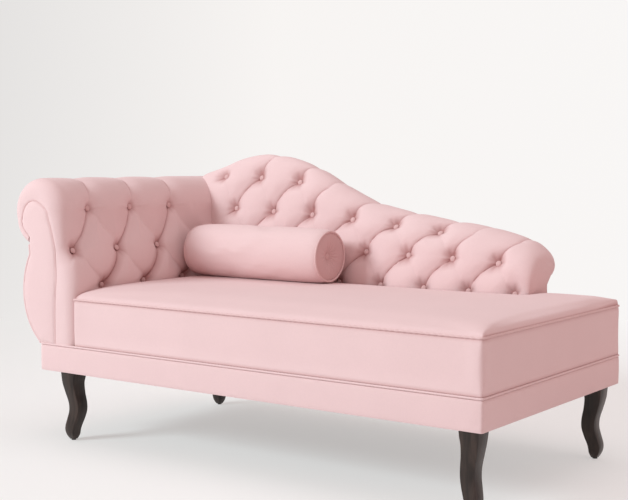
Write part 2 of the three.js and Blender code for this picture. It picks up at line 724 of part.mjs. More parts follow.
function armRow(row) {
  const { at, out } = armPoint(row * armTuft.rowPitch);
  const offset = row % 2;
  const first = armTuft.firstColumn - offset * (armTuft.pitch / 2);
  return Array.from({ length: armTuft.columns + offset }, (_, i) => ({
    at: new THREE.Vector3(at.x, first + i * armTuft.pitch, at.y),
    out: new THREE.Vector3(out.x, 0, out.y),
    tie: armTie,
  }));
}

// Back: its section leans back from the seat line, rolls over the top and tucks under
// behind, and the top line follows a curve from the hump down to the foot end.

const topPoints = [
  { alongShare: 0, riseShare: 0.825 }, { alongShare: 0.07, riseShare: 0.9 },
  { alongShare: 0.15, riseShare: 0.972 }, { alongShare: 0.225, riseShare: 1 },
  { alongShare: 0.3, riseShare: 0.968 }, { alongShare: 0.38, riseShare: 0.885 },
  { alongShare: 0.46, riseShare: 0.752 }, { alongShare: 0.54, riseShare: 0.637 },
  { alongShare: 0.61, riseShare: 0.577 }, { alongShare: 0.73, riseShare: 0.512 },
  { alongShare: 0.85, riseShare: 0.46 }, { alongShare: 0.93, riseShare: 0.415 },
  { alongShare: 1, riseShare: 0.345 },
];
const backSpan = backFoot - back.headStart;
const topCurve = new THREE.SplineCurve(topPoints.map((p) => new THREE.Vector2(p.alongShare, p.riseShare)));

const halvings = 24;

function topLevel(x) {
  const share = THREE.MathUtils.clamp((x - back.headStart) / backSpan, 0, 1);
  let [low, high] = [0, 1];
  for (let k = 0; k < halvings; k += 1) {
    const middle = (low + high) / 2;
    if (topCurve.getPoint(middle).x < share) low = middle;
    else high = middle;
  }
  return seatTop + back.rise * topCurve.getPoint(low).y;
}

function leanFront(z) {
  return backFront + Math.max(z - seatTop, 0) * Math.tan(lean);
}

// Columns are counted from the head, and a half column lies between two of them
const columnsWidth = backFoot - backTuft.footMargin - backTuft.start;
const backPitch = columnsWidth / backTuft.columns + backTuft.ease * backTuft.columns;
const rowRise = (x) => backTuft.rowPitch - backTuft.rowEaseShare * (x - backTuft.start);
const columnX = (i) => backTuft.start + backPitch * i - backTuft.ease * i * i;
const buttonHalves = {
  seat: [2, 4, 6, 8, 10, 12, 14],
  lower: [1, 3, 5, 7, 9, 11, 13],
  upper: [0, 2, 4, 6, 8, 10],
  top: [-1, 1, 3],
};
const lastHalves = Object.values(buttonHalves).map((halves) => halves.at(-1));
const backIsButton = (a, b) => a >= -1 && a <= (lastHalves[b] ?? -Infinity);

function halfColumnOf(x) {
  const root = Math.sqrt(backPitch ** 2 - 4 * backTuft.ease * (x - backTuft.start));
  return (backPitch - root) / backTuft.ease;
}

// How far a point of the ring at x, a length q up the cloth, stands nearer to the foot
function rowShift(x, q) {
  const room = Math.min(x - back.headStart - back.headEdge, backFoot - back.footEdge - x);
  const share = THREE.MathUtils.clamp(room / backTuft.shiftEase, 0, 1);
  return (share * backTuft.rowShift * q) / rowRise(x);
}

const blendShare = 0.55;
const crestFadeShare = 0.5;
const rollTurns = radians([42, -15, -85]);
const tuftRows = 4;
const everyRow = Array.from({ length: tuftRows * tuft.steps + 1 }, (_, i) => i);

// The front of the back at x: upright under the seat line, then leaning, then over to the crest
function backPath(x) {
  const top = topLevel(x);
  const straightEnd = top - back.rollStart;
  const start = new THREE.Vector2(leanFront(straightEnd), straightEnd);
  const blend = new THREE.CubicBezierCurve(
    start,
    start.clone().addScaledVector(leanUp, blendShare * back.rollStart),
    new THREE.Vector2(THREE.MathUtils.lerp(rollLine, start.x, blendShare), top),
    new THREE.Vector2(rollLine, top),
  );
  const straight = (straightEnd - seatTop) / Math.cos(lean);
  const blendLength = blend.getLength();
  return { top, blend, straight, blendLength, crest: straight + blendLength };
}

function backPoint(path, q) {
  if (q <= 0) return { at: new THREE.Vector2(backFront, seatTop + q), out: new THREE.Vector2(-1, 0) };
  if (q <= path.straight) {
    return { at: new THREE.Vector2(backFront, seatTop).addScaledVector(leanUp, q), out: leanOut };
  }
  const share = Math.min((q - path.straight) / path.blendLength, 1);
  const way = path.blend.getTangentAt(share);
  return { at: path.blend.getPointAt(share), out: new THREE.Vector2(-way.y, way.x) };
}

function rearFace(z) {
  const share = THREE.MathUtils.clamp((z - padBottom) / (seatTop - padBottom), 0, 1);
  return THREE.MathUtils.lerp(base.depth - cloth, base.depth - back.neckSetback, share) - cloth - fit;
}

// Where the front of a section has its points, as lengths up the cloth
function frontStops({ straight, blendLength, crest }, rows, step) {
  if (rows) return rows.map((k) => (k * step > crest - step / 3 ? crest : k * step));
  return [0, straight, straight + blendLength / 3, straight + (2 * blendLength) / 3, crest];
}

// One section of the back at x, drawn in by inset. With rows it has a point at each third
// of a row of tufts, sunk by them and shifted with the rows, and otherwise only the points
// that its smooth shape needs.
function backSection(x, inset, { rows, tufted = 0, bottom = padBottom, rearOver = 0 } = {}) {
  const placeAt = (q) => (rows ? x + rowShift(x, q) : x);
  const topX = placeAt(backPath(x).crest);
  const path = backPath(topX);
  const step = rowRise(x) / tuft.steps;
  const points = [[x, backFront + inset, bottom]];
  frontStops(path, rows, step).forEach((q) => {
    const fade = THREE.MathUtils.clamp((path.crest - q) / (crestFadeShare * step) + crestFadeShare, 0, 1);
    const dip = tufted * fade * tuftDepth(halfColumnOf(x), q / rowRise(x),
      backPitch / 2, backTuft.rowPitch, tuftRows, backIsButton);
    const { at, out } = backPoint(backPath(placeAt(q)), q);
    const depth = Math.max(inset, dip);
    points.push([placeAt(q), at.x - out.x * depth, at.y - out.y * depth]);
  });
  const rollMiddle = path.top - back.rollRadius;
  rollTurns.forEach((turn) => {
    const r = back.rollRadius - inset;
    points.push([topX, rollLine + r * Math.cos(turn), rollMiddle + r * Math.sin(turn)]);
  });
  const under = rollMiddle - back.rollRadius;
  points.push([topX, rearFace(under), under - fit]);
  if (rearOver) points.push([topX, rearFace(under) + rearOver, under - 2 * fit]);
  points.push([x, rearFace(seatTop) + rearOver, seatTop - cutOver]);
  points.push([x, rearFace(padBottom) + rearOver, bottom]);
  return points;
}

// The places of the rings between the rounded ends, at each third of a half column
const leastGapShare = 0.05;

function backColumns() {
  const columns = [];
  const least = leastGapShare * backPitch;
  const [from, to] = [back.headStart + back.headEdge + least, backFoot - back.footEdge - least];
  for (let k = Math.ceil(halfColumnOf(from) * tuft.steps); ; k += 1) {
    const x = columnX(k / 2 / tuft.steps);
    if (x > to) break;
    columns.push({ x, k });
  }
  return columns;
}

const backEdgeTurns = radians([90, 45, 0]);

function backBody() {
  const rings = [];
  const keys = [];
  const keep = (x, inset, tufted, key) => {
    rings.push(backSection(x, inset, { rows: everyRow, tufted }));
    keys.push(key);
  };
  const keepEdge = (turn, end, radius, way) =>
    keep(end + way * radius * (1 - Math.sin(turn)), radius * (1 - Math.cos(turn)), Math.cos(turn), null);
  backEdgeTurns.forEach((turn) => keepEdge(turn, back.headStart, back.headEdge, 1));
  backColumns().forEach(({ x, k }) => keep(x, 0, 1, k));
  [...backEdgeTurns].reverse().forEach((turn) => keepEdge(turn, backFoot, back.footEdge, -1));
  return loft(rings, [1, 2], (r, i) => {
    if (keys[r] === null) return false;
    const half = Math.floor(keys[r] / tuft.steps);
    const row = Math.floor((i - 1) / tuft.steps);
    return (half + row) % 2 !== 0;
  });
}

const innerColumnShares = [0, 0.07, 0.15, 0.23, 0.31, 0.4, 0.5, 0.6, 0.78, 0.92, 1];

function backInside(inset, endInset, rearOver, bottom) {
  const [from, to] = [back.headStart + endInset, backFoot - endInset];
  const rings = innerColumnShares.map((share) => {
    const x = THREE.MathUtils.lerp(from, to, share);
    return backSection(x, inset, { bottom, rearOver });
  });
  return loft(rings, [1, 2]);
}

// The space in front of a plane that lies parallel to the leaning face, at a depth under it
function beforePlane(depth) {
  const low = new THREE.Vector2(backFront, seatTop).addScaledVector(leanOut, -depth);
  const far = base.depth + back.rise;
  const ends = [low.clone().addScaledVector(leanUp, -far), low.clone().addScaledVector(leanUp, far)];
  const ahead = ends.map((p) => p.clone().addScaledVector(leanOut, far));
  return prism('x', [...ends, ...ahead.reverse()], -base.length, 2 * base.length);
}

// The space under a line that follows the top of the back at a drop below it
function belowLine(drop) {
  const [from, to] = [back.headStart - cutOver, backFoot + cutOver];
  return loft(innerColumnShares.map((share) => {
    const x = THREE.MathUtils.lerp(from, to, share);
    const level = topLevel(x) - drop;
    return [[x, 0, 0], [x, 2 * base.depth, 0], [x, 2 * base.depth, level], [x, 0, level]];
  }), [1, 2]);
}

// The buttons of the top row are tied in the roll's foam, and the others behind the panel
const backTie = backPad.cover + fit + backPad.foam + fit + backPad.panel + button.twine;
const topTie = backPad.cover + button.twine * 2;

function backRow(row, halves, tie) {
  return halves.map((half) => {
    const column = columnX(half / 2);
    const q = row * rowRise(column);
    const x = column + rowShift(column, q);
    const { at, out } = backPoint(backPath(x), q);
    return { at: new THREE.Vector3(x, at.x, at.y), out: new THREE.Vector3(0, out.x, out.y), tie };
  });
}

const backRows = {
  seat: backRow(0, buttonHalves.seat, backTie),
  lower: backRow(1, buttonHalves.lower, backTie),
  upper: backRow(2, buttonHalves.upper, backTie),
  top: backRow(3, buttonHalves.top, topTie),
};
const armRows = { lower: armRow(0), middle: armRow(1), upper: armRow(2) };

function withoutTwine(solid, rows) {
  return Object.values(rows).reduce((left, places) =>
    left.subtract(buttonRow(places, button.twine + 2 * button.twineRoom, false)), solid);
}

function addRows(prefix, rows) {
  Object.entries(rows).forEach(([name, places]) => {
    add(`${prefix}_buttons_${name}`, buttonRow(places, button.twine, true), twineFinish);
  });
}

// The arm's outer space, grown by a clearance, that the back is fitted round
const armSpace = armPrism(-fit, [-cutOver, base.depth + back.rollRadius], padBottom - cutOver);

const facingFront = [0, arm.facingThickness];
const facingRear = [base.depth - arm.facingThickness, base.depth];
const boardFront = [facingFront[1] + fit, facingFront[1] + fit + armPad.board];
const boardRear = [facingRear[0] - fit - armPad.board, facingRear[0] - fit];
const betweenBoards = [boardFront[1] + fit, boardRear[0] - fit];

function addArmFrame() {
  const board = (y) => armPrism(armPad.cover + fit, y, uprightBottom);
  add('arm_front_board', board(boardFront), timber);
  add('arm_rear_board', board(boardRear), timber);

  const sweep = innerLength + arm.scrollRadius * THREE.MathUtils.degToRad(armPad.panelSweep);
  const foamDepths = [armPad.cover + fit, armPad.cover + fit + armPad.foam];
  const panelDepths = [foamDepths[1] + fit, foamDepths[1] + fit + armPad.panel];
  const band = (depths) => armBand(depths, armStart, sweep, betweenBoards, uprightBottom);
  add('arm_foam', withoutTwine(band(foamDepths), armRows), foam);
  add('arm_panel', withoutTwine(band(panelDepths), armRows), timber);
  const poleEnds = betweenBoards.map((y) => new THREE.Vector3(scroll.x, y, scroll.y));
  add('arm_pole', rod(poleEnds[0], poleEnds[1], armPad.poleRadius, 12), timber);
  const railX = [arm.width / 2 - rail.thickness, arm.width / 2];
  const railLevels = [uprightBottom, uprightBottom + rail.crossWidth];
  add('arm_bottom_rail', box(railX, betweenBoards, railLevels), timber);
}

// The space on the outer side of the arm, under the scroll, that the outside cover closes
function armOuterSpace() {
  const reach = scroll.x - 2 * arm.scrollRadius;
  const neck = armPoint(armEnd).at;
  const low = padBottom - cutOver;
  const corners = [
    [reach, low], [arm.footIn + armPad.cover, low], [neck.x + armPad.cover, neck.y],
    [neck.x, neck.y], [reach, neckZ - arm.neckDrop],
  ];
  return prism('y', corners.map((c) => new THREE.Vector2(...c)), -cutOver, base.depth + cutOver);
}

function addArmCovers() {
  const low = padBottom - cutOver;
  const hollow = armPrism(armPad.cover, [boardFront[0] - fit, boardRear[1] + fit], low);
  const recess = facingOutline(weltRadius + fit, low);
  const frontRecess = prism('y', recess, -cutOver, boardFront[0] + cutOver);
  const rearRecess = prism('y', recess, boardRear[1] - cutOver, base.depth + cutOver);
  const wrapped = armBody().subtract(hollow).subtract(armOuterSpace());
  const cover = wrapped.subtract(frontRecess).subtract(rearRecess);
  add('arm_inside_cover', withoutTwine(cover, armRows), pink, softFlatness);

  const outer = armOutline.filter((s) => s.a === null);
  const skin = [0, cloth].map((inset) => outer.map((s) => insetPoint(s, inset)));
  const skinDepths = [boardFront[0], boardRear[1]];
  add('arm_outside_cover', prism('y', [...skin[0], ...skin[1].reverse()], ...skinDepths), pink);
  const face = facingOutline(-weltRadius - fit, padBottom);
  add('arm_front_facing', prism('y', face, ...facingFront), pink);
  add('arm_rear_facing', prism('y', face, ...facingRear), pink);
  const line = armOutline.filter((s) => s.a !== null).map((s) => insetPoint(s, facingBorder(s)));
  const path = line.map((p) => new THREE.Vector3(p.x, 0, p.y));
  add('arm_facing_welt', welt(path, new THREE.Vector3(0, 1, 0), weltRadius, false), pink);
  addRows('arm', armRows);
}

// The back's core is split into foam under the cover, a panel, a roll along the top, and
// three uprights behind the panel
function addBackFrame() {
  const wall = backPad.cover;
  const core = backInside(wall + fit, wall + fit, 0, uprightBottom).subtract(armSpace);
  const panelDepth = wall + fit + backPad.foam + fit;
  const rollDrop = 2 * back.rollRadius - wall;
  const lower = core.intersect(belowLine(rollDrop));
  add('back_foam', withoutTwine(lower.intersect(beforePlane(panelDepth - fit)), backRows), foam);
  const [allDepths, allLevels] = [[0, 2 * base.depth], [0, 2 * (seatTop + back.rise)]];
  const footTrim = box([backFoot - back.footEdge, base.length], allDepths, allLevels);
  const behindFoam = lower.subtract(beforePlane(panelDepth)).subtract(footTrim);
  const panel = behindFoam.intersect(beforePlane(panelDepth + backPad.panel));
  add('back_panel', withoutTwine(panel, backRows), timber);
  add('back_top_roll', withoutTwine(core.subtract(belowLine(rollDrop - fit)), backRows), foam);

  const behind = behindFoam.subtract(beforePlane(panelDepth + backPad.panel + fit));
  const places = {
    head: arm.width + backPad.upright,
    middle: base.length / 2,
    foot: backFoot - back.footEdge - backPad.upright,
  };
  Object.entries(places).forEach(([name, x]) => {
    const slice = box([x, x + backPad.upright], allDepths, allLevels);
    add(`back_upright_${name}`, withoutTwine(behind.intersect(slice), backRows), timber);
  });
}

function addBackCovers() {
  const hollow = backInside(backPad.cover, backPad.cover, 2 * back.rollRadius, padBottom - cutOver);
  const cover = backBody().subtract(hollow).subtract(armSpace);
  add('back_inside_cover', withoutTwine(cover, backRows), pink, softFlatness);

  const sheetRings = innerColumnShares.map((share) => {
    const x = THREE.MathUtils.lerp(back.headStart, backFoot, share);
    const levels = [padBottom, seatTop, topLevel(x) - 2 * back.rollRadius - cloth];
    const sheet = [0, cloth].map((out) => levels.map((z) => [x, rearFace(z) + fit + out, z]));
    return [...sheet[0], ...sheet[1].reverse()];
  });
  add('back_outside_cover', loft(sheetRings, [1, 2]).subtract(armSpace), pink);
  addRows('back', backRows);
}

// Bolster: a stuffed tube that lies along the foot of the back against the arm. Its ends are
// round pieces that are sewn on at a welt and drawn in to a button.

const bolsterHalf = bolster.length / 2;
const bolsterEnd = bolster.radius - bolster.endDraw;
const fillingStop = bolsterHalf - 2 * bolster.welt - fit;
const fillingDip = fillingStop - bolster.capDip;
const bolsterCrown = [
  { lengthShare: -1, fullShare: 0 }, { lengthShare: -0.94, fullShare: 0.7 },
  { lengthShare: -0.6, fullShare: 1 }, { lengthShare: 0.6, fullShare: 1 },
  { lengthShare: 0.94, fullShare: 0.7 }, { lengthShare: 1, fullShare: 0 },
];
const bolsterDipShare = 0.5;

function bolsterSide(shrink, half) {
  return bolsterCrown.map(({ lengthShare, fullShare }) =>
    [bolsterEnd + bolster.endDraw * fullShare - shrink, lengthShare * half]);
}

function bolsterCap() {
  const rim = bolster.welt;
  const radius = bolsterEnd + rim;
  const dipRadius = bolsterDipShare * bolsterEnd;
  const inner = [
    [0, fillingDip + fit], [dipRadius, fillingStop + fit], [bolsterEnd - cloth, bolsterHalf - rim],
  ];
  const round = [
    [bolsterEnd + cloth / 2, bolsterHalf - rim + fit], [radius, bolsterHalf - rim + 2 * fit],
    [radius, bolsterHalf - fit], [bolsterEnd, bolsterHalf], [bolsterEnd - rim, bolsterHalf - rim / 2],
  ];
  const outer = [[dipRadius + cloth, fillingStop + fit + cloth], [0, fillingDip + fit + cloth]];
  return [...inner, ...round, ...outer];
}

function addBolster() {
  const middleX = arm.width + bolster.armGap + bolsterHalf;
  const middleY = backFront - bolster.backGap - bolster.radius;
  const centre = new THREE.Vector3(middleX, middleY, seatTop + fit + bolster.radius);
  const along = new THREE.Vector3(1, 0, 0);
  const turned = (profile, sides, way, place) => lathe(profile, sides, way, place.toArray());
  const skin = [0, cloth].map((shrink) => bolsterSide(shrink, bolsterHalf - bolster.welt - fit));
  const coverProfile = [...skin[0], ...skin[1].reverse(), skin[0][0]];
  add('bolster_cover', turned(coverProfile, bolster.sides, along, centre), pink);

  const body = bolsterSide(cloth + 2 * fit, fillingStop);
  const dipRadius = bolsterDipShare * bolsterEnd;
  const ends = [-1, 1].map((side) => [[dipRadius, side * fillingStop], [0, side * fillingDip]]);
  const filling = [...ends[0].reverse(), ...body, ...ends[1]];
  add('bolster_filling', turned(filling, bolster.sides, along, centre), foam);

  Object.entries({ head: -1, foot: 1 }).forEach(([name, side]) => {
    const way = along.clone().multiplyScalar(side);
    add(`bolster_end_${name}`, turned(bolsterCap(), bolster.sides, way, centre), pink);
    const seatAt = centre.clone().addScaledVector(way, fillingDip + cloth + 2 * fit);
    const dome = domeProfile.slice(1).map(([r, height]) => [r, height + button.twine]);
    const stem = [[0, 0], [button.twine, button.twine], ...dome];
    add(`bolster_button_${name}`, turned(stem, 12, way, seatAt), twineFinish);
  });
}

addBaseFrame();
addBand();
addLegs();
addWebbing();
addDustCover();
addSeat();
addArmFrame();
addArmCovers();
addBackFrame();
addBackCovers();
addBolster();

// The origin is the middle of the underside of the whole object's box
const whole = new THREE.Box3().setFromObject(couch);
const middle = whole.getCenter(new THREE.Vector3());
couch.position.set(-middle.x, -middle.y, -whole.min.z);
couch.updateMatrixWorld(true);

export default couch;
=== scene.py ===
# %% [markdown]
# # A fainting couch, dressed for its photograph
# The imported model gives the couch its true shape, in plain solids. This notebook keeps that
# shape as a frame and lays the soft outside over it: tufted pads, a boxed seat, a bolster,
# welts and buttons. Each cell makes one piece or one finish, and prints what it made.

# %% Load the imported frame
import math

import bmesh
import bpy
import numpy as np
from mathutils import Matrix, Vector
from mathutils.geometry import delaunay_2d_cdt


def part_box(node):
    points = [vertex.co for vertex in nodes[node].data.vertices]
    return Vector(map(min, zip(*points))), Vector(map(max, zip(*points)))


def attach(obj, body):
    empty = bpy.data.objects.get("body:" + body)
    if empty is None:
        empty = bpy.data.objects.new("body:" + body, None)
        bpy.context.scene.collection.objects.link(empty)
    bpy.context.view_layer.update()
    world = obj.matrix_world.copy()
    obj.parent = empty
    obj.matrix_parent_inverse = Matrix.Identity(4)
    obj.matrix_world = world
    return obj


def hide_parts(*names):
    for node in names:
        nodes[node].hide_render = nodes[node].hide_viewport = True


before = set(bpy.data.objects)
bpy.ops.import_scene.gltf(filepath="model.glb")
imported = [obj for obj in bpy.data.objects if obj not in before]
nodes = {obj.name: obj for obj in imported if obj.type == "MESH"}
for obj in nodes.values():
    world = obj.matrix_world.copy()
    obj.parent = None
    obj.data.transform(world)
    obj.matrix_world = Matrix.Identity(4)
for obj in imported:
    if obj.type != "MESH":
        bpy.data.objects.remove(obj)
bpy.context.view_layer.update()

# %% [markdown]
# ## Tools for the job
# numpy handles whole grids of points at once, which keeps a finely tufted pad quick to build.

# %% [markdown]
# ## Sizes
# Lengths are in millimetres. x runs from the head end to the foot end of the base, y from the
# front to the rear, and z up from the floor. An upholsterer's own sizes are easier to think
# in than Blender's metres. The base's own corner ties this to the frame.

# %% Sizes in millimetres
LENGTH, DEPTH = 1500.0, 800.0
LEG_TOP, BAND_TOP, PAD_BOTTOM = 204.0, 284.0, 287.3
SEAM_LOW = 283.0
PIPING_LEVEL, SEAT_TOP, SEAT_DRAW = 423.0, 455.0, 4.0
ARM_FACE, BACK_FACE, BACK_FOOT = 157.0, 632.0, 1298.0
SCROLL_CENTRE, SCROLL_RADIUS = np.array([-8.0, 675.0]), 100.0
ROLL_LINE, ROLL_RADIUS, LEAN = 750.0, 58.0, math.radians(10.6)
PAD_THICK, CLEAR = 44.3, 0.3

base_low, base_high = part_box("rail_cover")
SHIFT = np.array([base_low.x, base_low.y, 0.0])


def placed(points):
    return np.asarray(points, float).reshape(-1, 3) / 1000 + SHIFT


print("the base's corner lies at", SHIFT.round(4))

# %% [markdown]
# ## From points to a mesh
# A piece could be pushed and pulled in Edit Mode, but then nobody could change its size
# later. So every piece is made from plain lists of points and faces. Points that fall
# together are joined, the faces are turned to look outward, and only true edges stay sharp.

# %% From points to an object
def linked(name, data):
    obj = bpy.data.objects.new(name, data)
    bpy.context.scene.collection.objects.link(obj)
    return obj


def mesh_object(name, points, faces, sharp=60, painted_shade=None):
    mesh = bpy.data.meshes.new(name)
    mesh.from_pydata(placed(points).tolist(), [], [list(map(int, f)) for f in faces])
    # Painted shade: the mask of darker tone, where given, goes on as a point attribute.
    if painted_shade is not None:
        marks = mesh.attributes.new("painted_shade", "FLOAT", "POINT")
        marks.data.foreach_set("value", np.asarray(painted_shade, np.float32).ravel())
    work = bmesh.new()
    work.from_mesh(mesh)
    bmesh.ops.remove_doubles(work, verts=work.verts, dist=2e-6)
    bmesh.ops.dissolve_degenerate(work, edges=work.edges, dist=1e-7)
    bmesh.ops.recalc_face_normals(work, faces=work.faces)
    work.to_mesh(mesh)
    work.free()
    mesh.shade_smooth()
    mesh.set_sharp_from_angle(angle=math.radians(sharp))
    return linked(name, mesh)


# %% Faces for a grid and for a closed loft
def grid_faces(rows, cols, wrap=False, quads=False):
    across = np.arange(cols if wrap else cols - 1)
    r, c = np.meshgrid(np.arange(rows - 1), across, indexing="ij")
    a, b = r * cols + c, r * cols + (c + 1) % cols
    d, e = a + cols, b + cols
    if quads:
        return np.stack([a, b, e, d], -1).reshape(-1, 4).tolist()
    return np.stack([a, b, e, a, e, d], -1).reshape(-1, 3).tolist()


def closed_loft(rings, quads=False):
    rows, cols = rings.shape[:2]
    faces = grid_faces(rows, cols, wrap=True, quads=quads)
    first = list(range(cols))
    last = [cols * (rows - 1) + i for i in range(cols)]
    return rings.reshape(-1, 3), faces + [first[::-1], last]


# %% [markdown]
# ## Lines that know their length
# An upholsterer marks the buttons on flat cloth, with a tape. A Bezier curve in Blender is
# spaced by its handles instead, so tufts along it would bunch where it bends. A section here
# is a line in a plane that can be asked for its point and its outward way at any length, so
# that the tufts are spaced on the cloth as they would be on the bench.

# %% Curves and their lengths
def bezier(points, count=240):
    t = np.linspace(0, 1, count)[:, None]
    p = [np.asarray(q, float) for q in points]
    s = 1 - t
    return s**3 * p[0] + 3 * s**2 * t * p[1] + 3 * s * t**2 * p[2] + t**3 * p[3]


def arc(centre, radius, start, end, count=240):
    turn = np.radians(np.linspace(start, end, count))
    return np.asarray(centre) + radius * np.stack([np.cos(turn), np.sin(turn)], -1)


def lengths(line):
    steps = np.linalg.norm(np.diff(line, axis=0), axis=1)
    return np.concatenate([[0.0], np.cumsum(steps)])


# %% A section that can be read at any length
class Section:
    def __init__(self, line, start=0.0):
        keep = np.concatenate([[True], np.linalg.norm(np.diff(line, axis=0), axis=1) > 1e-6])
        self.line = line[keep]
        self.length = start + lengths(self.line)
        way = np.gradient(self.line, self.length, axis=0)
        way /= np.linalg.norm(way, axis=1)[:, None]
        self.way_out = np.stack([way[:, 1], -way[:, 0]], -1)

    def _read(self, table, at):
        return np.stack([np.interp(at, self.length, table[:, k]) for k in (0, 1)], -1)

    def at(self, length):
        return self._read(self.line, length)

    def out(self, length):
        way = self._read(self.way_out, length)
        return way / np.linalg.norm(way, axis=-1)[..., None]


# %% The arm's sections, inside and outside
inner_curve = bezier([(ARM_FACE, SEAT_TOP), (ARM_FACE, 545.2), (92, 595.8), (92, 675)])
scroll = arc(SCROLL_CENTRE, SCROLL_RADIUS, 0, 252)
ARM_START = SEAM_LOW - SEAT_TOP
upright = np.array([[ARM_FACE, SEAM_LOW], [ARM_FACE, SEAT_TOP]])
arm_section = Section(np.concatenate([upright, inner_curve[1:], scroll[1:]]), ARM_START)
ARM_END = arm_section.length[-1]
outer_curve = bezier([(-35, 550), (-74.75, 480.9), (-85.15, 362.4), (4, PAD_BOTTOM)])
outer_section = Section(np.concatenate([[(-38.4, 576)], outer_curve, [(5, SEAM_LOW)]]))
print("cloth over the arm, seat line to neck:", round(ARM_END), "mm")

# %% [markdown]
# ## What a tuft does to a pad
# On the real couch each button is pulled in with twine, and the spare cloth between two
# buttons is folded into a pleat. That could be sculpted by hand, or the cloth could be
# simulated, but folds then fall where they like. Here they follow a rule. Buttons sit on a
# lattice of half columns u and rows v, wherever u + v is even. Each one pulls a dimple, each
# line between two of them is a valley, and the rising lines carry a sharp fold.

# %% Sizes of a tuft
FAR = 1e6
DIMPLE_DEEP, DIMPLE_REACH, DIMPLE_POWER = 27.0, 28, 1.3
FOLD_HIGH, FOLD_REACH, LIP_HIGH, LIP_REACH = 2.6, 1.4, 0.9, 9
RISING_DEEP, FALLING_DEEP, VALLEY_POWER = 12.5, 7.0, 1.9
FAINT_HIGH, FAINT_REACH = 0.4, 3
GATHERS, GATHER_HIGH, GATHER_AT, GATHER_REACH = 7, 1.0, 18, 10


# %% Distances on the lattice of buttons
def shortest_to_buttons(u, v, wide, high, buttons):
    nearest = np.full(u.shape, FAR)
    turn = np.zeros(u.shape)
    for i, j in buttons:
        du, dv = (u - i) * wide, (v - j) * high
        away = np.hypot(du, dv * 0.86)
        closer = away < nearest
        turn = np.where(closer, np.arctan2(dv, du) + i * 1.7 + j, turn)
        nearest = np.where(closer, away, nearest)
    return nearest, turn


def has_button(buttons, i, j):
    found = np.zeros(i.shape, bool)
    for a, b in buttons:
        found |= (i == a) & (j == b)
    return found


def line_share(low, high, along):
    one_down = np.clip((along - 0.45) / 0.55, 0, 1) ** 1.5
    return np.where(low & high, 1.0, np.where(high, one_down, 0.0))


# %% How deep the cloth lies at any point
def dimple(away, deep=DIMPLE_DEEP):
    return deep * np.exp(-((away / DIMPLE_REACH) ** DIMPLE_POWER))


def tuft_depth(u, v, wide, high, buttons, relief=1.0, deep=DIMPLE_DEEP):
    row = np.floor(v)
    along = v - row
    rising = np.round((u - v) / 2) * 2
    falling = np.round((u + v) / 2) * 2
    off_rising, off_falling = u - v - rising, u + v - falling
    on_rising = line_share(has_button(buttons, rising + row, row),
                           has_button(buttons, rising + row + 1, row + 1), along)
    on_falling = line_share(has_button(buttons, falling - row, row),
                            has_button(buttons, falling - row - 1, row + 1), along)
    reach = wide * high / np.hypot(wide, high)
    valley = lambda off: np.clip(1 - np.abs(off), 0, 1) ** VALLEY_POWER
    fold = FOLD_HIGH * np.exp(-np.abs(off_rising) * reach / FOLD_REACH) * on_rising
    side = np.sign(off_rising) * on_rising
    lip = -LIP_HIGH * np.exp(-np.abs(off_rising) * reach / LIP_REACH) * side
    soft = relief * np.maximum(RISING_DEEP * valley(off_rising) * on_rising,
                               FALLING_DEEP * valley(off_falling) * on_falling)
    faint = FAINT_HIGH * np.exp(-(off_falling * reach / FAINT_REACH) ** 2) * on_falling
    away, turn = shortest_to_buttons(u, v, wide, high, buttons)
    ring = np.exp(-(((away - GATHER_AT) / GATHER_REACH) ** 2))
    gathers = GATHER_HIGH * np.cos(GATHERS * turn) * ring
    return (soft**3 + dimple(away, deep) ** 3) ** (1 / 3) + fold + lip + faint + gathers


def bow(u, v, share):
    nearest = u - v - np.round((u - v) / 2) * 2
    return share * np.sin(np.pi * (v - np.floor(v))) * np.cos(np.pi * nearest / 2) ** 2


# %% [markdown]
# ## Letting cloth fill out
# Padding presses against its cover from within, which a rule alone doesn't show. Blender's
# cloth can press too, but a whole fine pad would take many minutes. So a coarse copy of each
# pad is held at its buttons and seams and blown up. Points that lie on one another are
# joined first, or the cloth would not move. How far it moves, within a cap, is then added to
# the fine pad.

# %% Join points that lie together
def joined(points, faces):
    _, first, same = np.unique(np.round(points, 2), axis=0, return_index=True,
                               return_inverse=True)
    same = same.ravel()
    kept = [list(dict.fromkeys(int(same[i]) for i in face)) for face in faces]
    return first, same, [face for face in kept if len(face) > 2]


# %% The cloth pass
PRESSURE, LAST_FRAME = 4.0, 20


def swell(name, points, faces, held, cap, shrink=0.0):
    points = np.asarray(points, float).reshape(-1, 3)
    first, same, faces = joined(points, faces)
    held = np.bincount(same, np.ravel(held)) > 0
    mesh = bpy.data.meshes.new(name + "_cloth")
    mesh.from_pydata(placed(points[first]).tolist(), [], faces)
    obj = linked(name + "_cloth", mesh)
    pins = obj.vertex_groups.new(name="held")
    pins.add([int(i) for i in np.flatnonzero(held)], 1.0, "REPLACE")
    cloth = obj.modifiers.new("cloth", "CLOTH")
    cloth.settings.vertex_group_mass = "held"
    cloth.settings.use_pressure = True
    cloth.settings.uniform_pressure_force = PRESSURE
    cloth.settings.shrink_min = shrink
    cloth.settings.effector_weights.gravity = 0
    cloth.settings.quality = 5
    scene = bpy.context.scene
    for step in range(1, LAST_FRAME + 1):
        scene.frame_set(step)
    shape = obj.evaluated_get(bpy.context.evaluated_depsgraph_get()).data
    moved = np.zeros(len(shape.vertices) * 3, np.float32)
    shape.vertices.foreach_get("co", moved)
    scene.frame_set(1)
    bpy.data.objects.remove(obj)
    move = (moved.reshape(-1, 3) - placed(points[first]))[same] * 1000
    far = np.linalg.norm(move, axis=1)[:, None]
    print(name, "cloth moved up to", round(float(far.max()), 1), "mm")
    return move * np.minimum(1, cap / np.maximum(far, 1e-6))


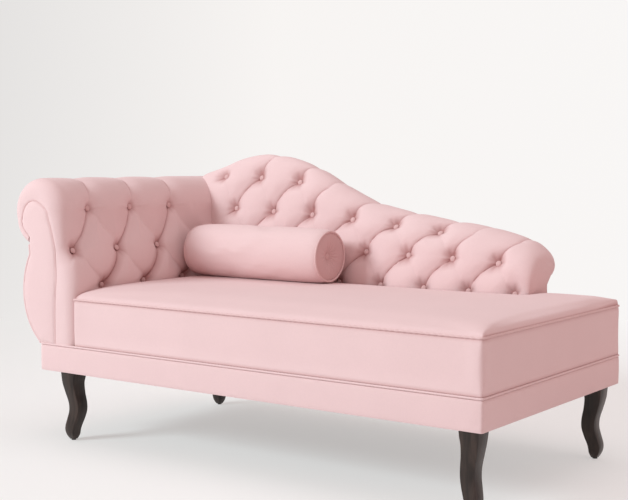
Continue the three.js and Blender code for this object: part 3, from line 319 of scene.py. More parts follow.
def spread(values, rows, cols, fine_rows, fine_cols):
    across = np.array([np.interp(fine_cols, cols, line) for line in values])
    return np.array([np.interp(fine_rows, rows, across[:, k]) for k in range(len(fine_cols))]).T


# %% [markdown]
# ## The arm
# One piece of cloth runs from under the seat, up the inside, over the scroll and to the neck.
# At the front and the rear it turns over a soft edge and ends at the facing's seam. It could
# be a box with bevels, but its edge is softer low down than over the scroll, so the border's
# width is a curve of its own, read from the facing in the photograph.

# %% Sizes of the arm's cover
ARM_WIDE, ARM_HIGH, ARM_FIRST = 89.5, 121.0, 137.0
ARM_DEEP, ARM_FULL, ARM_RELIEF, ARM_FULL_RUN = 31.0, 9.0, 1.7, 420
CREASE_HIGH, CREASE_REACH, CREASE_SOFT, CREASE_END, CREASE_FADE = 2.6, 1.8, 10, 450, 120
LEAN_SHARE, BOW_SHARE, TOP_ROW, LOW_FADE, FULL_FADE = 0.3, 0.17, 2, 60, 70
EDGE_RADIUS, TURNED_IN = 40, 14.0
ARM_BUTTONS = [(i, j) for j in range(3) for i in range(-1, 6) if (i + j) % 2 == 0]
BORDER = [(0, 79), (0.154, 78), (0.29, 63), (0.375, 38.5), (0.43, 33), (0.476, 42), (0.558, 62),
          (0.68, 65.6), (0.8, 58.4), (0.873, 48), (0.913, 36.4), (0.992, 23.6), (1, 22)]


# %% A border that follows the facing
def smooth_curve(points, count=40):
    p = np.asarray(points, float)
    p = np.concatenate([p[:1], p, p[-1:]])
    t = np.linspace(0, 1, count, endpoint=False)[:, None]
    parts = []
    for a, b, c, d in zip(p, p[1:], p[2:], p[3:]):
        parts.append(0.5 * (2 * b + (c - a) * t + (2 * a - 5 * b + 4 * c - d) * t**2
                            + (3 * b - a - 3 * c + d) * t**3))
    return np.concatenate([*parts, p[-1:]])


border_curve = smooth_curve(BORDER)


def border_of(a):
    share = (a - ARM_START) / (ARM_END - ARM_START)
    return np.interp(share, border_curve[:, 0], border_curve[:, 1])


# %% Cloth that turns over a soft edge
def edge_steps(border, radius, turns=10, flats=5):
    seam = [(TURNED_IN, border, 0.0), (3.4, border, 0.0), (0.9, border - 1.6, 0.0)]
    flat_from = np.maximum(border - 4.5, radius)
    flat = [(0.0, flat_from + (radius - flat_from) * k / flats, 0.0) for k in range(flats)]
    quarter = [math.pi / 2 * k / turns for k in range(turns + 1)]
    bend = [(radius * (1 - math.cos(t)), radius * (1 - math.sin(t)), t) for t in quarter]
    return seam + flat + bend


def wrapped_columns(a, border, radius, middle):
    steps = edge_steps(border, radius)
    full = lambda value: value + np.zeros_like(a)
    front, rear = [], []
    for y, inset, turn in steps:
        flat_run = np.maximum(full(inset) - radius, 0) * (turn == 0)
        over = full(radius * (math.pi / 2 - turn)) + flat_run
        tilt = math.pi / 2 - turn
        away, out = full(math.sin(tilt)), full(math.cos(tilt))
        front.append((full(y), full(inset), radius - over, -away, out))
        rear.append((DEPTH - full(y), full(inset), DEPTH - radius + over, away, out))
    lead = [radius + (middle[0] - radius) * k / 3 for k in (1, 2)]
    tail = [middle[-1] + (DEPTH - radius - middle[-1]) * k / 4 for k in (1, 2, 3)]
    plain = [(full(y), full(0.0), full(y), full(0.0), full(1.0))
             for y in [*lead, *middle, *tail]]
    return [np.stack(part, 1) for part in zip(*(front + plain + rear[::-1]))]


# %% The arm's grid, and its depth
def arm_grid(per_cell):
    rows = np.arange(-per_cell // 3, 400) * ARM_HIGH / per_cell
    a = np.concatenate([[ARM_START, -120, -80], rows])
    a = np.append(a[a < ARM_END - 2], ARM_END)
    middle = ARM_FIRST + ARM_WIDE * np.arange(-per_cell, 6.5 * per_cell + 1) / per_cell
    border = border_of(a)
    radius = np.minimum(EDGE_RADIUS, border - 3.3)
    return a, *wrapped_columns(a, border, radius, middle)


def arm_depth(a, y_cloth):
    u, v = (y_cloth - ARM_FIRST) / ARM_WIDE, a / ARM_HIGH
    under = tuft_depth(u, np.minimum(v, TOP_ROW), ARM_WIDE, ARM_HIGH, ARM_BUTTONS, ARM_RELIEF,
                       ARM_DEEP)
    off = np.abs(u - np.clip(np.round(u / 2) * 2, 0, 4))
    fade = np.clip((CREASE_END - a) / CREASE_FADE, 0, 1)
    crease = CREASE_HIGH * np.exp(-off * ARM_WIDE / CREASE_REACH)
    crease = crease + CREASE_SOFT * np.clip(1 - off, 0, 1) ** 2.4
    away, _ = shortest_to_buttons(u, v, ARM_WIDE, ARM_HIGH, ARM_BUTTONS)
    above = ((crease * fade) ** 3 + dimple(away, ARM_DEEP) ** 3) ** (1 / 3)
    low = np.clip((a + LOW_FADE) / LOW_FADE, 0, 1)
    near_edge = np.minimum(y_cloth, DEPTH - y_cloth)
    inside = np.clip(near_edge / FULL_FADE, 0, 1)
    full = ARM_FULL * np.sin(np.pi * np.clip(a / ARM_FULL_RUN, 0, 1)) ** 2 * inside
    return np.where(v > TOP_ROW, above, under * low) - full


# %% Points of the arm's cover
def arm_points(per_cell, added=None):
    a, y, inset, y_cloth, tilt_y, tilt_out = arm_grid(per_cell)
    lengthwise = np.repeat(a[:, None], y.shape[1], 1)
    at, out = arm_section.at(lengthwise), arm_section.out(lengthwise)
    u, v = (y_cloth - ARM_FIRST) / ARM_WIDE, lengthwise / ARM_HIGH
    inside = np.clip((u + 1) * 3, 0, 1) * np.clip((6.5 - u) * 2, 0, 1)
    curve = np.where((v > 0) & (v < TOP_ROW), bow(u, v, BOW_SHARE), 0)
    over_top = np.clip((v - TOP_ROW) / 0.9, 0, 1) ** 1.2
    lean = LEAN_SHARE * over_top * np.cos(np.pi * (u / 2 - np.round(u / 2))) ** 2
    moved = y + ARM_WIDE * (curve + lean) * inside
    depth = arm_depth(lengthwise, y_cloth)
    if added is not None:
        depth = depth - added
    spine = at - out * inset[..., None]
    outward = np.stack([tilt_out * out[..., 0], tilt_y, tilt_out * out[..., 1]], -1)
    points = np.stack([spine[..., 0], moved, spine[..., 1]], -1) - depth[..., None] * outward
    return a, y_cloth[0], depth, points, outward


def arm_hidden(a, border):
    rows = []
    rear = DEPTH - TURNED_IN
    for y, inset in ((rear, border), (rear, PAD_THICK), (TURNED_IN, PAD_THICK)):
        at = arm_section.at(a) - arm_section.out(a) * np.reshape(inset + 0 * a, (-1, 1))
        rows.append(np.stack([at[:, 0], np.full(len(a), y), at[:, 1]], -1))
    return np.stack(rows, 1)


def arm_rings(per_cell, added=None):
    a, across, depth, points, outward = arm_points(per_cell, added)
    return a, across, depth, np.concatenate([points, arm_hidden(a, border_of(a))], 1), outward


# %% Make the arm pad
# Painted shade: cloth lying deeper than this, in dimples and creases, is given a darker colour.
SHADE_PAINT_FROM, SHADE_PAINT_RUN = 8, 17


def painted_shade_share(depth, hidden):
    return np.pad(np.clip((depth - SHADE_PAINT_FROM) / SHADE_PAINT_RUN, 0, 1), ((0, 0), hidden))


def arm_pad(fine=30, coarse=6):
    a, across, depth, rings, outward = arm_rings(coarse)
    points, faces = closed_loft(rings, quads=True)
    held = np.ones(rings.shape[:2], bool)
    held[3:-1, 5:-8] = depth[3:-1, 5:-5] > 11
    move = swell("arm_pad", points, faces, held.ravel(), cap=4).reshape(rings.shape)
    out = np.maximum((move[:, :-3] * outward).sum(-1), 0)
    fine_a, fine_across = arm_rings(fine)[:2]
    across, fine_across = map(np.maximum.accumulate, (across, fine_across))
    added = spread(out, a, across, fine_a, fine_across)
    depth, rings = arm_rings(fine, added)[2:4]
    # Besides the mesh, the painted shade of its dimples and creases.
    return *closed_loft(rings), painted_shade_share(depth, (0, 3))


points, faces, painted_shade = arm_pad()
arm_pad_piece = mesh_object("arm_pad", points, faces, painted_shade=painted_shade)
print("arm pad:", len(arm_pad_piece.data.polygons), "faces")

# %% [markdown]
# ## The back
# The back rises to a hump near the arm and slopes away to the foot end, so no two of its
# sections are alike: each is upright under the seat line, then leans, then runs over a roll
# that tucks in behind. A single profile swept along a path would keep one height. A table of
# sections, one each few millimetres, stores them all, and is read between its entries.

# %% The top line of the back
TOP_AT = [0, 0.07, 0.15, 0.225, 0.3, 0.38, 0.46, 0.54, 0.61, 0.73, 0.85, 0.93, 1]
TOP_RISE = [0.825, 0.9, 0.972, 1, 0.968, 0.885, 0.752, 0.637, 0.577, 0.512, 0.458, 0.403, 0.325]
BACK_HEAD, BACK_RISE, ROLL_START = 10.0, 394.0, 95

top_curve = smooth_curve(np.stack([TOP_AT, TOP_RISE], 1))


def top_level(x):
    share = (np.asarray(x) - BACK_HEAD) / (BACK_FOOT - BACK_HEAD)
    return SEAT_TOP + BACK_RISE * np.interp(share, top_curve[:, 0], top_curve[:, 1])


# %% One section of the back
def back_line(x):
    top = float(top_level(x))
    straight_end = top - ROLL_START
    start = np.array([BACK_FACE + (straight_end - SEAT_TOP) * math.tan(LEAN), straight_end])
    up = np.array([math.sin(LEAN), math.cos(LEAN)])
    over = bezier([start, start + up * 0.55 * ROLL_START,
                   (start[0] + (ROLL_LINE - start[0]) * 0.55, top), (ROLL_LINE, top)], 60)
    turn = np.radians(np.linspace(90, -80, 70))
    radius = ROLL_RADIUS - 10 * np.clip(-turn / math.radians(80), 0, 1)
    roll_middle = top - ROLL_RADIUS
    roll = np.stack([ROLL_LINE + radius * np.cos(turn), roll_middle + radius * np.sin(turn)], -1)
    tuck = np.array([[755.5, top - 103], [756, top - 93], [757, top - 84]])
    front = np.concatenate([[[BACK_FACE, SEAT_TOP]], over])
    return front, np.concatenate([roll, tuck])


# %% A table of sections
BACK_XS = np.linspace(BACK_HEAD, BACK_FOOT, 323)
SHARES = np.linspace(0, 1, 121)
ROLL_STOP, ROLL_END = 1.86, 14.0


def even(line):
    run = lengths(line)
    return np.stack([np.interp(SHARES * run[-1], run, line[:, k]) for k in (0, 1)], -1), run[-1]


back_parts = [[even(part) for part in back_line(x)] for x in BACK_XS]
CREST = np.array([parts[0][1] for parts in back_parts])
ROLL_RUN = np.array([parts[1][1] for parts in back_parts])
back_table = np.array([np.concatenate([p[0][0], p[1][0][1:]]) for p in back_parts])
table_way = np.gradient(back_table, axis=1)
table_way /= np.linalg.norm(table_way, axis=2)[..., None]
back_out = np.stack([-table_way[..., 1], table_way[..., 0]], -1)


def back_read(table, x, share):
    last = len(BACK_XS) - 1
    i = np.clip((x - BACK_HEAD) / (BACK_FOOT - BACK_HEAD) * last, 0, last - 0.001)
    j = np.clip(share * (len(SHARES) - 1), 0, table.shape[1] - 1.001)
    i0, j0 = i.astype(int), j.astype(int)
    fi, fj = (i - i0)[..., None], (j - j0)[..., None]
    low = table[i0, j0] * (1 - fj) + table[i0, j0 + 1] * fj
    high = table[i0 + 1, j0] * (1 - fj) + table[i0 + 1, j0 + 1] * fj
    return low * (1 - fi) + high * fi


print("cloth from seat to crest:", round(CREST.min()), "to", round(CREST.max()), "mm")

# %% [markdown]
# The buttons stand a little closer to each other towards the foot end. The grid of the pad
# follows them, so that each fold lies along edges of the mesh and stays crisp.

# %% Where the back's buttons stand
BACK_START, BACK_EASE, BACK_HIGH, ROW_EASE = 174.0, 0.85, 111.0, 0.0227
BACK_PITCH = (BACK_FOOT - 49.2 - BACK_START) / 7 + BACK_EASE * 7
BACK_ROWS = {0: range(2, 15, 2), 1: range(1, 14, 2), 2: range(0, 11, 2), 3: (-1, 1, 3)}
BACK_BUTTONS = [(i, j) for j, row in BACK_ROWS.items() for i in row]
HEAD_EDGE, FOOT_EDGE, FOOT_TURN = 20.0, 40.0, 24.0
ROW_SHIFT, SHIFT_EASE = 12.5, 60.0
CELLS_UP, ROLL_NARROW, CALM_FROM, CALM_RUN = 5.9, 0.6, 45, 50
EDGE_TURNS = 10


def column_x(u):
    return BACK_START + BACK_PITCH * u / 2 - BACK_EASE * (u / 2) ** 2


def half_column(x):
    return (BACK_PITCH - np.sqrt(BACK_PITCH**2 - 4 * BACK_EASE * (x - BACK_START))) / BACK_EASE


def row_rise(x):
    return BACK_HIGH - ROW_EASE * (x - BACK_START)


def row_shift(x, v):
    room = np.minimum(x - BACK_HEAD - HEAD_EDGE, BACK_FOOT - FOOT_EDGE - x)
    return ROW_SHIFT * v * np.clip(room / SHIFT_EASE, 0, 1)


def crest_of(x):
    return np.interp(x, BACK_XS, CREST)


def rear_face(z):
    share = np.clip((z - PAD_BOTTOM) / (SEAT_TOP - PAD_BOTTOM), 0, 1)
    return 796.7 - 43 * share


# %% The grid of the back
def back_columns(per_cell):
    first = math.ceil(half_column(BACK_HEAD + HEAD_EDGE + 4) * per_cell)
    last = math.floor(half_column(BACK_FOOT - FOOT_EDGE - 3) * per_cell)
    middle = column_x(np.arange(first, last + 1) / per_cell)
    quarter = np.linspace(math.pi / 2, 0, EDGE_TURNS + 1)
    head = [(BACK_HEAD + HEAD_EDGE * (1 - math.sin(t)), HEAD_EDGE * (1 - math.cos(t)), -t)
            for t in quarter]
    foot = [(BACK_FOOT - FOOT_EDGE * (1 - math.sin(t)), FOOT_TURN * (1 - math.cos(t)),
             math.atan2(FOOT_TURN * math.sin(t), FOOT_EDGE * math.cos(t))) for t in quarter]
    return np.array([*head, *[(x, 0.0, 0.0) for x in middle], *foot[::-1]])


def back_grid(per_cell):
    columns = back_columns(per_cell)
    x0 = columns[:, 0]
    rise = row_rise(x0)
    crest = crest_of(x0)
    for _ in range(3):
        crest = crest_of(x0 + row_shift(x0, crest / rise))
    run = np.interp(x0, BACK_XS, ROLL_RUN)
    count = math.ceil(CELLS_UP * per_cell)
    k = np.arange(count + 1)[:, None] / per_cell
    crest_row, end_row = crest / rise, (crest + run) / rise
    share = (k - crest_row) / (count / per_cell - crest_row)
    beyond = crest_row + share * (end_row - crest_row)
    return columns, np.where(k <= crest_row, k, beyond), crest_row, rise


# %% Points of the back's cover
def back_points(per_cell, added=None):
    columns, v, crest_row, rise = back_grid(per_cell)
    x0, inset, turn = columns.T
    on_roll = np.clip((v - crest_row) / 0.8 + 1, 0, 1)
    inset = inset * (1 + ROLL_NARROW * on_roll * (x0 > BACK_FOOT - FOOT_EDGE - 1))
    u = np.broadcast_to(half_column(x0), v.shape)
    over = np.clip((crest_row + 0.35 - v) / 0.5, 0, 1)
    calm = (turn == 0) * np.clip((half_column(BACK_FOOT - FOOT_EDGE) - u) * 2, 0, 1)
    bowed = column_x(u + bow(u, v, -BOW_SHARE) * over * calm) - column_x(u)
    bowed = bowed * np.clip((x0 - CALM_FROM) / CALM_RUN, 0, 1)
    shifted = x0 + row_shift(x0, np.minimum(v, crest_row))
    x = shifted + bowed
    up_front = v * rise / crest_of(shifted)
    over_roll = 1 + (v - crest_row) * rise / np.interp(x0, BACK_XS, ROLL_RUN)
    last = 2 - (2 - ROLL_STOP) * np.clip(inset / 4, 0, 1)
    share = np.clip(np.where(v < crest_row, np.minimum(up_front, 1), over_roll), 0, last)
    at = back_read(back_table, x, share)
    out = back_read(back_out, x, np.minimum(share, ROLL_STOP))
    depth = tuft_depth(u, v, BACK_PITCH / 2 - 0.4 * u, rise, BACK_BUTTONS)
    past = np.clip(1 - (v - crest_row) / 0.75, 0, 1)
    depth = depth * past + crest_folds(u, v) * np.clip(1 - (v - crest_row) / 1.1, 0, 1)
    depth = np.minimum(depth, DIMPLE_DEEP)
    depth = depth - ROLL_END * np.sin(np.clip(turn, 0, 2)) ** 2 * on_roll
    if added is not None:
        depth = depth - added
    spine = np.concatenate([x[..., None], at - out * inset[..., None]], -1)
    along = np.broadcast_to(np.sin(turn), depth.shape)[..., None]
    outward = np.concatenate([along, out * np.cos(turn)[..., None]], -1)
    return u, depth, spine - depth[..., None] * outward, outward


# %% [markdown]
# Over the last row of buttons there is no button to meet, so on the real couch the pleat is
# pulled over the top and tacked behind. Here a fold runs on to the crest and fades on the
# roll behind it. At the head end the back then tucks in behind the arm's rounded edge.

# %% Folds that run on to the crest
FOLD_LEAN, FOLD_ENDS, HALF_COLUMN = 0.5, 1.9, 70
CREST_FOLD, CREST_FOLD_REACH, CREST_SOFT, CREST_SOFT_REACH = 2.4, 1.8, 8.5, 48


def crest_folds(u, v):
    depth = np.zeros(u.shape)
    last = [(i, j) for i, j in BACK_BUTTONS
            if (i + 1, j + 1) not in BACK_BUTTONS and 0 <= i < 14]
    for i, j in last:
        up = v - j
        near = np.abs((u - i - up * FOLD_LEAN) * HALF_COLUMN)
        grown = np.clip(up * 5, 0, 1) * (up > 0) * np.clip(FOLD_ENDS - up, 0, 1)
        fold = CREST_FOLD * np.exp(-near / CREST_FOLD_REACH)
        soft = CREST_SOFT * np.clip(1 - near / CREST_SOFT_REACH, 0, 1) ** 2.2
        depth = np.maximum(depth, grown * (fold + soft))
    return depth


# %% Tuck the back behind the arm
def inside_arm(x, z):
    scroll_x, scroll_z = SCROLL_CENTRE
    face = np.interp(np.clip(z, SEAT_TOP, scroll_z), inner_curve[:, 1], inner_curve[:, 0])
    in_scroll = np.hypot(x - scroll_x, z - scroll_z) - SCROLL_RADIUS
    return np.where(z > scroll_z, in_scroll, x - face)


TUCKED = 5


def tuck_behind_arm(points):
    gap = inside_arm(points[..., 0], points[..., 2])
    along = EDGE_RADIUS + np.clip(gap, -EDGE_RADIUS, 0)
    rear = DEPTH - EDGE_RADIUS + np.sqrt(EDGE_RADIUS**2 - along**2) - TUCKED
    points[..., 1] = np.where(gap < 0, np.minimum(points[..., 1], rear), points[..., 1])
    return points


# %% Close the pad behind
def back_rings(per_cell, added=None):
    u, depth, points, outward = back_points(per_cell, added)
    columns = back_columns(per_cell)
    inset = columns[:, 1]
    foot_part = columns[:, 0] > BACK_FOOT - FOOT_EDGE - PAD_THICK
    low = np.stack([columns[:, 0], BACK_FACE + inset, np.full(len(inset), SEAM_LOW)], -1)
    top = top_level(columns[:, 0])
    waist = np.maximum(top - 110, SEAT_TOP + 8)
    lean_y = lambda z: BACK_FACE + np.maximum(z - SEAT_TOP, 0) * math.tan(LEAN) + PAD_THICK
    rows = []
    for z in (waist, np.full(len(top), SEAT_TOP), np.full(len(top), SEAM_LOW)):
        y = np.where(foot_part, rear_face(z), np.minimum(lean_y(z), rear_face(z)))
        rows.append(np.stack([columns[:, 0], y, z], -1))
    rings = np.concatenate([low[:, None], points.transpose(1, 0, 2), np.stack(rows, 1)], 1)
    return u, depth, tuck_behind_arm(rings), outward


# %% Make the back pad
def back_pad(fine=30, coarse=6):
    u, depth, rings, outward = back_rings(coarse)
    points, faces = closed_loft(rings, quads=True)
    held = np.ones(rings.shape[:2], bool)
    held[12:-6, 3:-8] = depth.T[12:-6, 2:-5] > 10
    move = swell("back_pad", points, faces, held.ravel(), cap=4).reshape(rings.shape)
    out = np.maximum((move[:, 1:-3] * outward.transpose(1, 0, 2)).sum(-1), 0)
    fine_u, _, fine_rings, _ = back_rings(fine)
    rows = np.linspace(0, 1, out.shape[1])
    fine_rows = np.linspace(0, 1, fine_rings.shape[1] - 4)
    added = spread(out.T, rows, u[0], fine_rows, fine_u[0])
    depth, rings = back_rings(fine, added)[1:3]
    # Besides the mesh, the painted shade of its dimples and creases.
    return *closed_loft(rings), painted_shade_share(depth.T, (1, 3))


points, faces, painted_shade = back_pad()
back_pad_piece = mesh_object("back_pad", points, faces, painted_shade=painted_shade)
print("back pad:", len(back_pad_piece.data.polygons), "faces")

# %% [markdown]
# ## Flat panels with a crown
# The facing closes the arm's end with a scroll of padded board. A flat face with a bevel
# would do from afar, but light shows the padding. So the outline is filled with a grid of
# points by Delaunay triangles. Its middle stands a little proud, because it is padded and
# pulled tight, and its edge dips into the seam.

# %% Fill an outline with faces
def filled(outline, spacing):
    outline = np.asarray(outline, float)
    low, high = outline.min(0), outline.max(0)
    xs = np.arange(low[0] + spacing / 2, high[0], spacing)
    ys = np.arange(low[1] + spacing / 2, high[1], spacing)
    grid = np.stack(np.meshgrid(xs, ys), -1).reshape(-1, 2)
    away = edge_distance(grid, outline)
    grid = grid[(away > spacing * 0.45) & inside_outline(grid, outline)]
    count = len(outline)
    edges = [(i, (i + 1) % count) for i in range(count)]
    verts = [Vector(p) for p in np.concatenate([outline, grid])]
    found = delaunay_2d_cdt(verts, edges, [], 1, 1e-5)
    points = np.array([tuple(p) for p in found[0]])
    return points, [list(f) for f in found[2]], edge_distance(points, outline)


def edge_distance(points, outline):
    best = np.full(len(points), 1e9)
    for a, b in zip(outline, np.roll(outline, -1, 0)):
        way = b - a
        t = np.clip(((points - a) @ way) / max(way @ way, 1e-12), 0, 1)[:, None]
        best = np.minimum(best, np.linalg.norm(points - a - t * way, axis=1))
    return best


def inside_outline(points, outline):
    inside = np.zeros(len(points), bool)
    for (x0, y0), (x1, y1) in zip(outline, np.roll(outline, -1, 0)):
        crosses = (y0 > points[:, 1]) != (y1 > points[:, 1])
        span = np.where(y1 == y0, 1e-9, y1 - y0)
        inside ^= crosses & (points[:, 0] < (x1 - x0) * (points[:, 1] - y0) / span + x0)
    return inside


# %% Make the two facings
def facing_line(count=110):
    a = np.linspace(ARM_START, ARM_END, count)
    inner = arm_section.at(a) - arm_section.out(a) * border_of(a)[:, None]
    b = np.linspace(0, outer_section.length[-1], 40)
    outer = outer_section.at(b) - outer_section.out(b) * 6
    return inner, outer


FACING_CROWN, CROWN_RUN, SEAM_SUNK, SEAM_REACH = 4.5, 34, 3.4, 2.2


def facing(name, y_face, way):
    inner, outer = facing_line()
    points, faces, away = filled(np.concatenate([inner, outer]), 6)
    crown = FACING_CROWN * (1 - np.clip(1 - away / CROWN_RUN, 0, 1) ** 2)
    crown = crown - SEAM_SUNK * np.exp(-((away / SEAM_REACH) ** 2))
    ripple = 0.4 * np.sin(points[:, 1] / 37) * np.sin(points[:, 0] / 23)
    front = np.stack([points[:, 0], y_face + way * (crown + ripple), points[:, 1]], -1)
    count = len(inner) + len(outer)
    rim = front[:count].copy()
    rim[:, 1] = y_face - way * TURNED_IN
    loop = list(range(count))
    side = [[i, (i + 1) % count, len(front) + (i + 1) % count, len(front) + i] for i in loop]
    back = [len(front) + i for i in loop]
    return mesh_object(name, np.concatenate([front, rim]), faces + side + [back], 50)


front_facing = facing("arm_facing_front", 0.0, -1)
rear_facing = facing("arm_facing_rear", DEPTH, 1)
print("facings:", len(front_facing.data.polygons), "faces each")

# %% [markdown]
# ## The outsides of the arm and the back
# Behind, the covers are single panels, stretched from seam to seam without padding. A plane
# would look like board, so each has a slight hollow and a faint ripple, and a second layer
# closes it as a thin shell.

# %% The arm's outside
def arm_outside(rows=60):
    b = np.linspace(0, outer_section.length[-1], rows)
    border, radius = np.full(rows, 6.0), np.full(rows, 5.7)
    middle = np.linspace(20, 780, 60)
    y, inset, y_cloth, _, tilt_out = wrapped_columns(b, border + 3, radius, middle)
    at, out = outer_section.at(b)[:, None], outer_section.out(b)[:, None]
    ripple = 0.6 * np.sin(y_cloth / 71) * np.sin(b[:, None] / 43) * (tilt_out > 0.9)
    spine = at - out * (inset + ripple)[..., None]
    points = np.stack([spine[..., 0], y, spine[..., 1]], -1)
    hidden = []
    for y_in in (DEPTH - TURNED_IN, TURNED_IN):
        line = outer_section.at(b) - outer_section.out(b) * 12
        hidden.append(np.stack([line[:, 0], np.full(rows, y_in), line[:, 1]], -1))
    return closed_loft(np.concatenate([points, np.stack(hidden, 1)], 1), quads=True)


# %% The back's outside
BELOW_TOP, PANEL_OUT, PANEL_LIFT = 88, 3.3, 32


def back_outside(rows=50, cols=110):
    x = np.linspace(0, 1, cols)[None]
    share = np.linspace(0, 1, rows)[:, None]
    along = np.linspace(60, BACK_FOOT - 1, cols)
    top = top_level(along)[None] - BELOW_TOP
    z = SEAM_LOW + share * (top - SEAM_LOW)
    past_edge = np.clip(rear_face(z) + PANEL_OUT - (DEPTH - EDGE_RADIUS), 0, EDGE_RADIUS - 1)
    rounding = EDGE_RADIUS - np.sqrt(EDGE_RADIUS**2 - past_edge**2)
    edge = np.maximum(0, -inside_arm(np.full(z.shape, 1.0), z) - rounding)
    xs = edge + x * (BACK_FOOT - 1 - edge)
    lift = PANEL_LIFT * np.clip((xs - BACK_FOOT + 75) / 60, 0, 1)
    z = SEAM_LOW + share * (top_level(xs) - BELOW_TOP + lift - SEAM_LOW)
    hollow = 3 * np.sin(np.pi * x) * np.sin(np.pi * share)
    ripple = 0.6 * np.sin(xs / 67) * np.sin(z / 49)
    y = rear_face(z) + PANEL_OUT - hollow + ripple
    outer = np.stack([xs, y, z], -1)
    lining = np.stack([xs, rear_face(z) + 0.3 - hollow, z], -1)
    count = rows * cols
    faces = grid_faces(rows, cols, quads=True)
    inner_faces = [[i + count for i in f[::-1]] for f in faces]
    ring = [r * cols for r in range(rows)] + [count - cols + c for c in range(1, cols)]
    ring += [r * cols + cols - 1 for r in range(rows - 2, -1, -1)]
    ring += list(range(cols - 2, 0, -1))
    side = [[a, b, b + count, a + count] for a, b in zip(ring, ring[1:] + ring[:1])]
    points = np.concatenate([outer.reshape(-1, 3), lining.reshape(-1, 3)])
    return points, faces + inner_faces + side


arm_outside_piece = mesh_object("arm_outside", *arm_outside(), 50)
back_outside_piece = mesh_object("back_outside", *back_outside(), 50)
print("outside panels:", arm_outside_piece.name, "and", back_outside_piece.name)

# %% [markdown]
# ## The seat
# The seat is a box of cloth around a cushion, cut out where the back stands. A cube with a
# Bevel would have even edges and flat sides. On the real one the top is crowned at the open
# edges, and the sides are drawn in at both seams and full between them. So the top is a
# grid whose height follows the distance to its open edges, and the walls are rings below it.

# %% Sizes of the seat's crown
EDGE_RUN = np.array([0, 1.5, 4, 8, 13, 20, 28, 37, 47, 58])
FOOT_CORNER, FOOT_FULL = 8.0, 8.0
CROWN = [(0, 0), (8, 0.3), (20, 0.48), (37, 0.6), (58, 0.7), (80, 0.78), (110, 0.86),
         (150, 0.93), (220, 0.98), (300, 1)]
CROWN_HIGH, FOOT_STEEP, FOOT_RUN = 32, 36, 10
BULGE_HIGH, BULGE_X, BULGE_Y, BULGE_LONG, BULGE_WIDE = 5, 1380, 690, 190, 170
CORNER_RISE, CORNER_RUN = 18, 80
crown_curve = smooth_curve(CROWN)


def crown(distance):
    return np.interp(distance, crown_curve[:, 0], crown_curve[:, 1])


def seat_height(x, y):
    foot_side = LENGTH - SEAT_DRAW - x
    foot_side = foot_side + FOOT_STEEP * (1 - np.exp(-np.maximum(foot_side, 0) / FOOT_RUN))
    edges = np.maximum([foot_side, y - SEAT_DRAW, DEPTH - SEAT_DRAW - y], 1e-3)
    along, across = (x - BULGE_X) / BULGE_LONG, (y - BULGE_Y) / BULGE_WIDE
    rear_bulge = BULGE_HIGH * np.exp(-(along**2) - across**2)
    nearest = (edges**-3.0).sum(0) ** (-1 / 3)
    away = np.hypot(LENGTH - x, DEPTH - y)
    rise = CORNER_RISE * np.exp(-((away / CORNER_RUN) ** 2))
    nearest = nearest + rise * np.clip(nearest / 4, 0, 1)
    return PIPING_LEVEL + CROWN_HIGH * crown(nearest) + rear_bulge * np.clip(nearest / 60, 0, 1)


# %% Lines of the seat's grid
def fill_between(low, high, step):
    return np.linspace(low, high, max(2, round((high - low) / step) + 1))[1:-1]


def seat_lines(step):
    near = SEAT_DRAW + EDGE_RUN
    far_x, far_y = LENGTH - near[::-1], DEPTH - near[::-1]
    notch_x, notch_y = BACK_FOOT + CLEAR, BACK_FACE - CLEAR
    xs = np.concatenate([[ARM_FACE + CLEAR, 170], fill_between(170, notch_x, step), [notch_x],
                         fill_between(notch_x, far_x[0], step), far_x])
    ys = np.concatenate([near, fill_between(near[-1], notch_y, step), [notch_y],
                         fill_between(notch_y, far_y[0], step), far_y])
    return xs, ys


def round_foot(points, inset, full_radius=FOOT_CORNER):
    radius = full_radius - inset
    for y_side, way in ((inset, -1), (DEPTH - inset, 1)):
        centre = np.array([LENGTH - inset - radius, y_side - way * radius])
        off = (points[..., :2] - centre) * [1, way]
        corner = (off > 0).all(-1)
        longest = off.max(-1) / np.maximum(np.hypot(off[..., 0], off[..., 1]), 1e-9)
        moved = centre + off * longest[..., None] * [1, way]
        points[..., :2] = np.where(corner[..., None], moved, points[..., :2])
    return points


# %% Top and rim of the seat
def seat_mesh(step):
    xs, ys = seat_lines(step)
    gx, gy = np.meshgrid(xs, ys, indexing="ij")
    top = round_foot(np.stack([gx, gy, seat_height(gx, gy)], -1), SEAT_DRAW)
    keep = lambda i, j: ys[j + 1] <= BACK_FACE or xs[i] >= BACK_FOOT
    count = len(ys)
    faces = [[i * count + j, (i + 1) * count + j, (i + 1) * count + j + 1, i * count + j + 1]
             for i in range(len(xs) - 1) for j in range(count - 1) if keep(i, j)]
    notch_j = int(np.argmin(abs(ys - (BACK_FACE - CLEAR))))
    notch_i = int(np.argmin(abs(xs - (BACK_FOOT + CLEAR))))
    rim = [(i, 0) for i in range(len(xs))] + [(len(xs) - 1, j) for j in range(1, count)]
    rim += [(i, count - 1) for i in range(len(xs) - 2, notch_i - 1, -1)]
    rim += [(notch_i, j) for j in range(count - 2, notch_j - 1, -1)]
    rim += [(i, notch_j) for i in range(notch_i - 1, -1, -1)]
    rim += [(0, j) for j in range(notch_j - 1, 0, -1)]
    return xs, ys, top, faces, rim


# %% Walls of the seat
WALL_SHARES = np.array([1, 0.985, 0.955, 0.91, 0.84, 0.75, 0.65, 0.5, 0.35, 0.22, 0.13, 0.07,
                        0.03, 0, -0.032])
WALL_DRAW = np.interp(WALL_SHARES, [-0.032, 0, 0.09, 0.5, 0.91, 1],
                      [1.0, 0.35, 0.12, 0, 0.25, 1])
# Painted shade: a darker tone just under the top piping and just above the low seam.
WALL_PAINTED_SHADE = np.interp(WALL_SHARES, [0, 0.05, 0.94, 0.97, 1], [0.5, 0, 0, 0.35, 0.8])
CORNER_HELD = 30


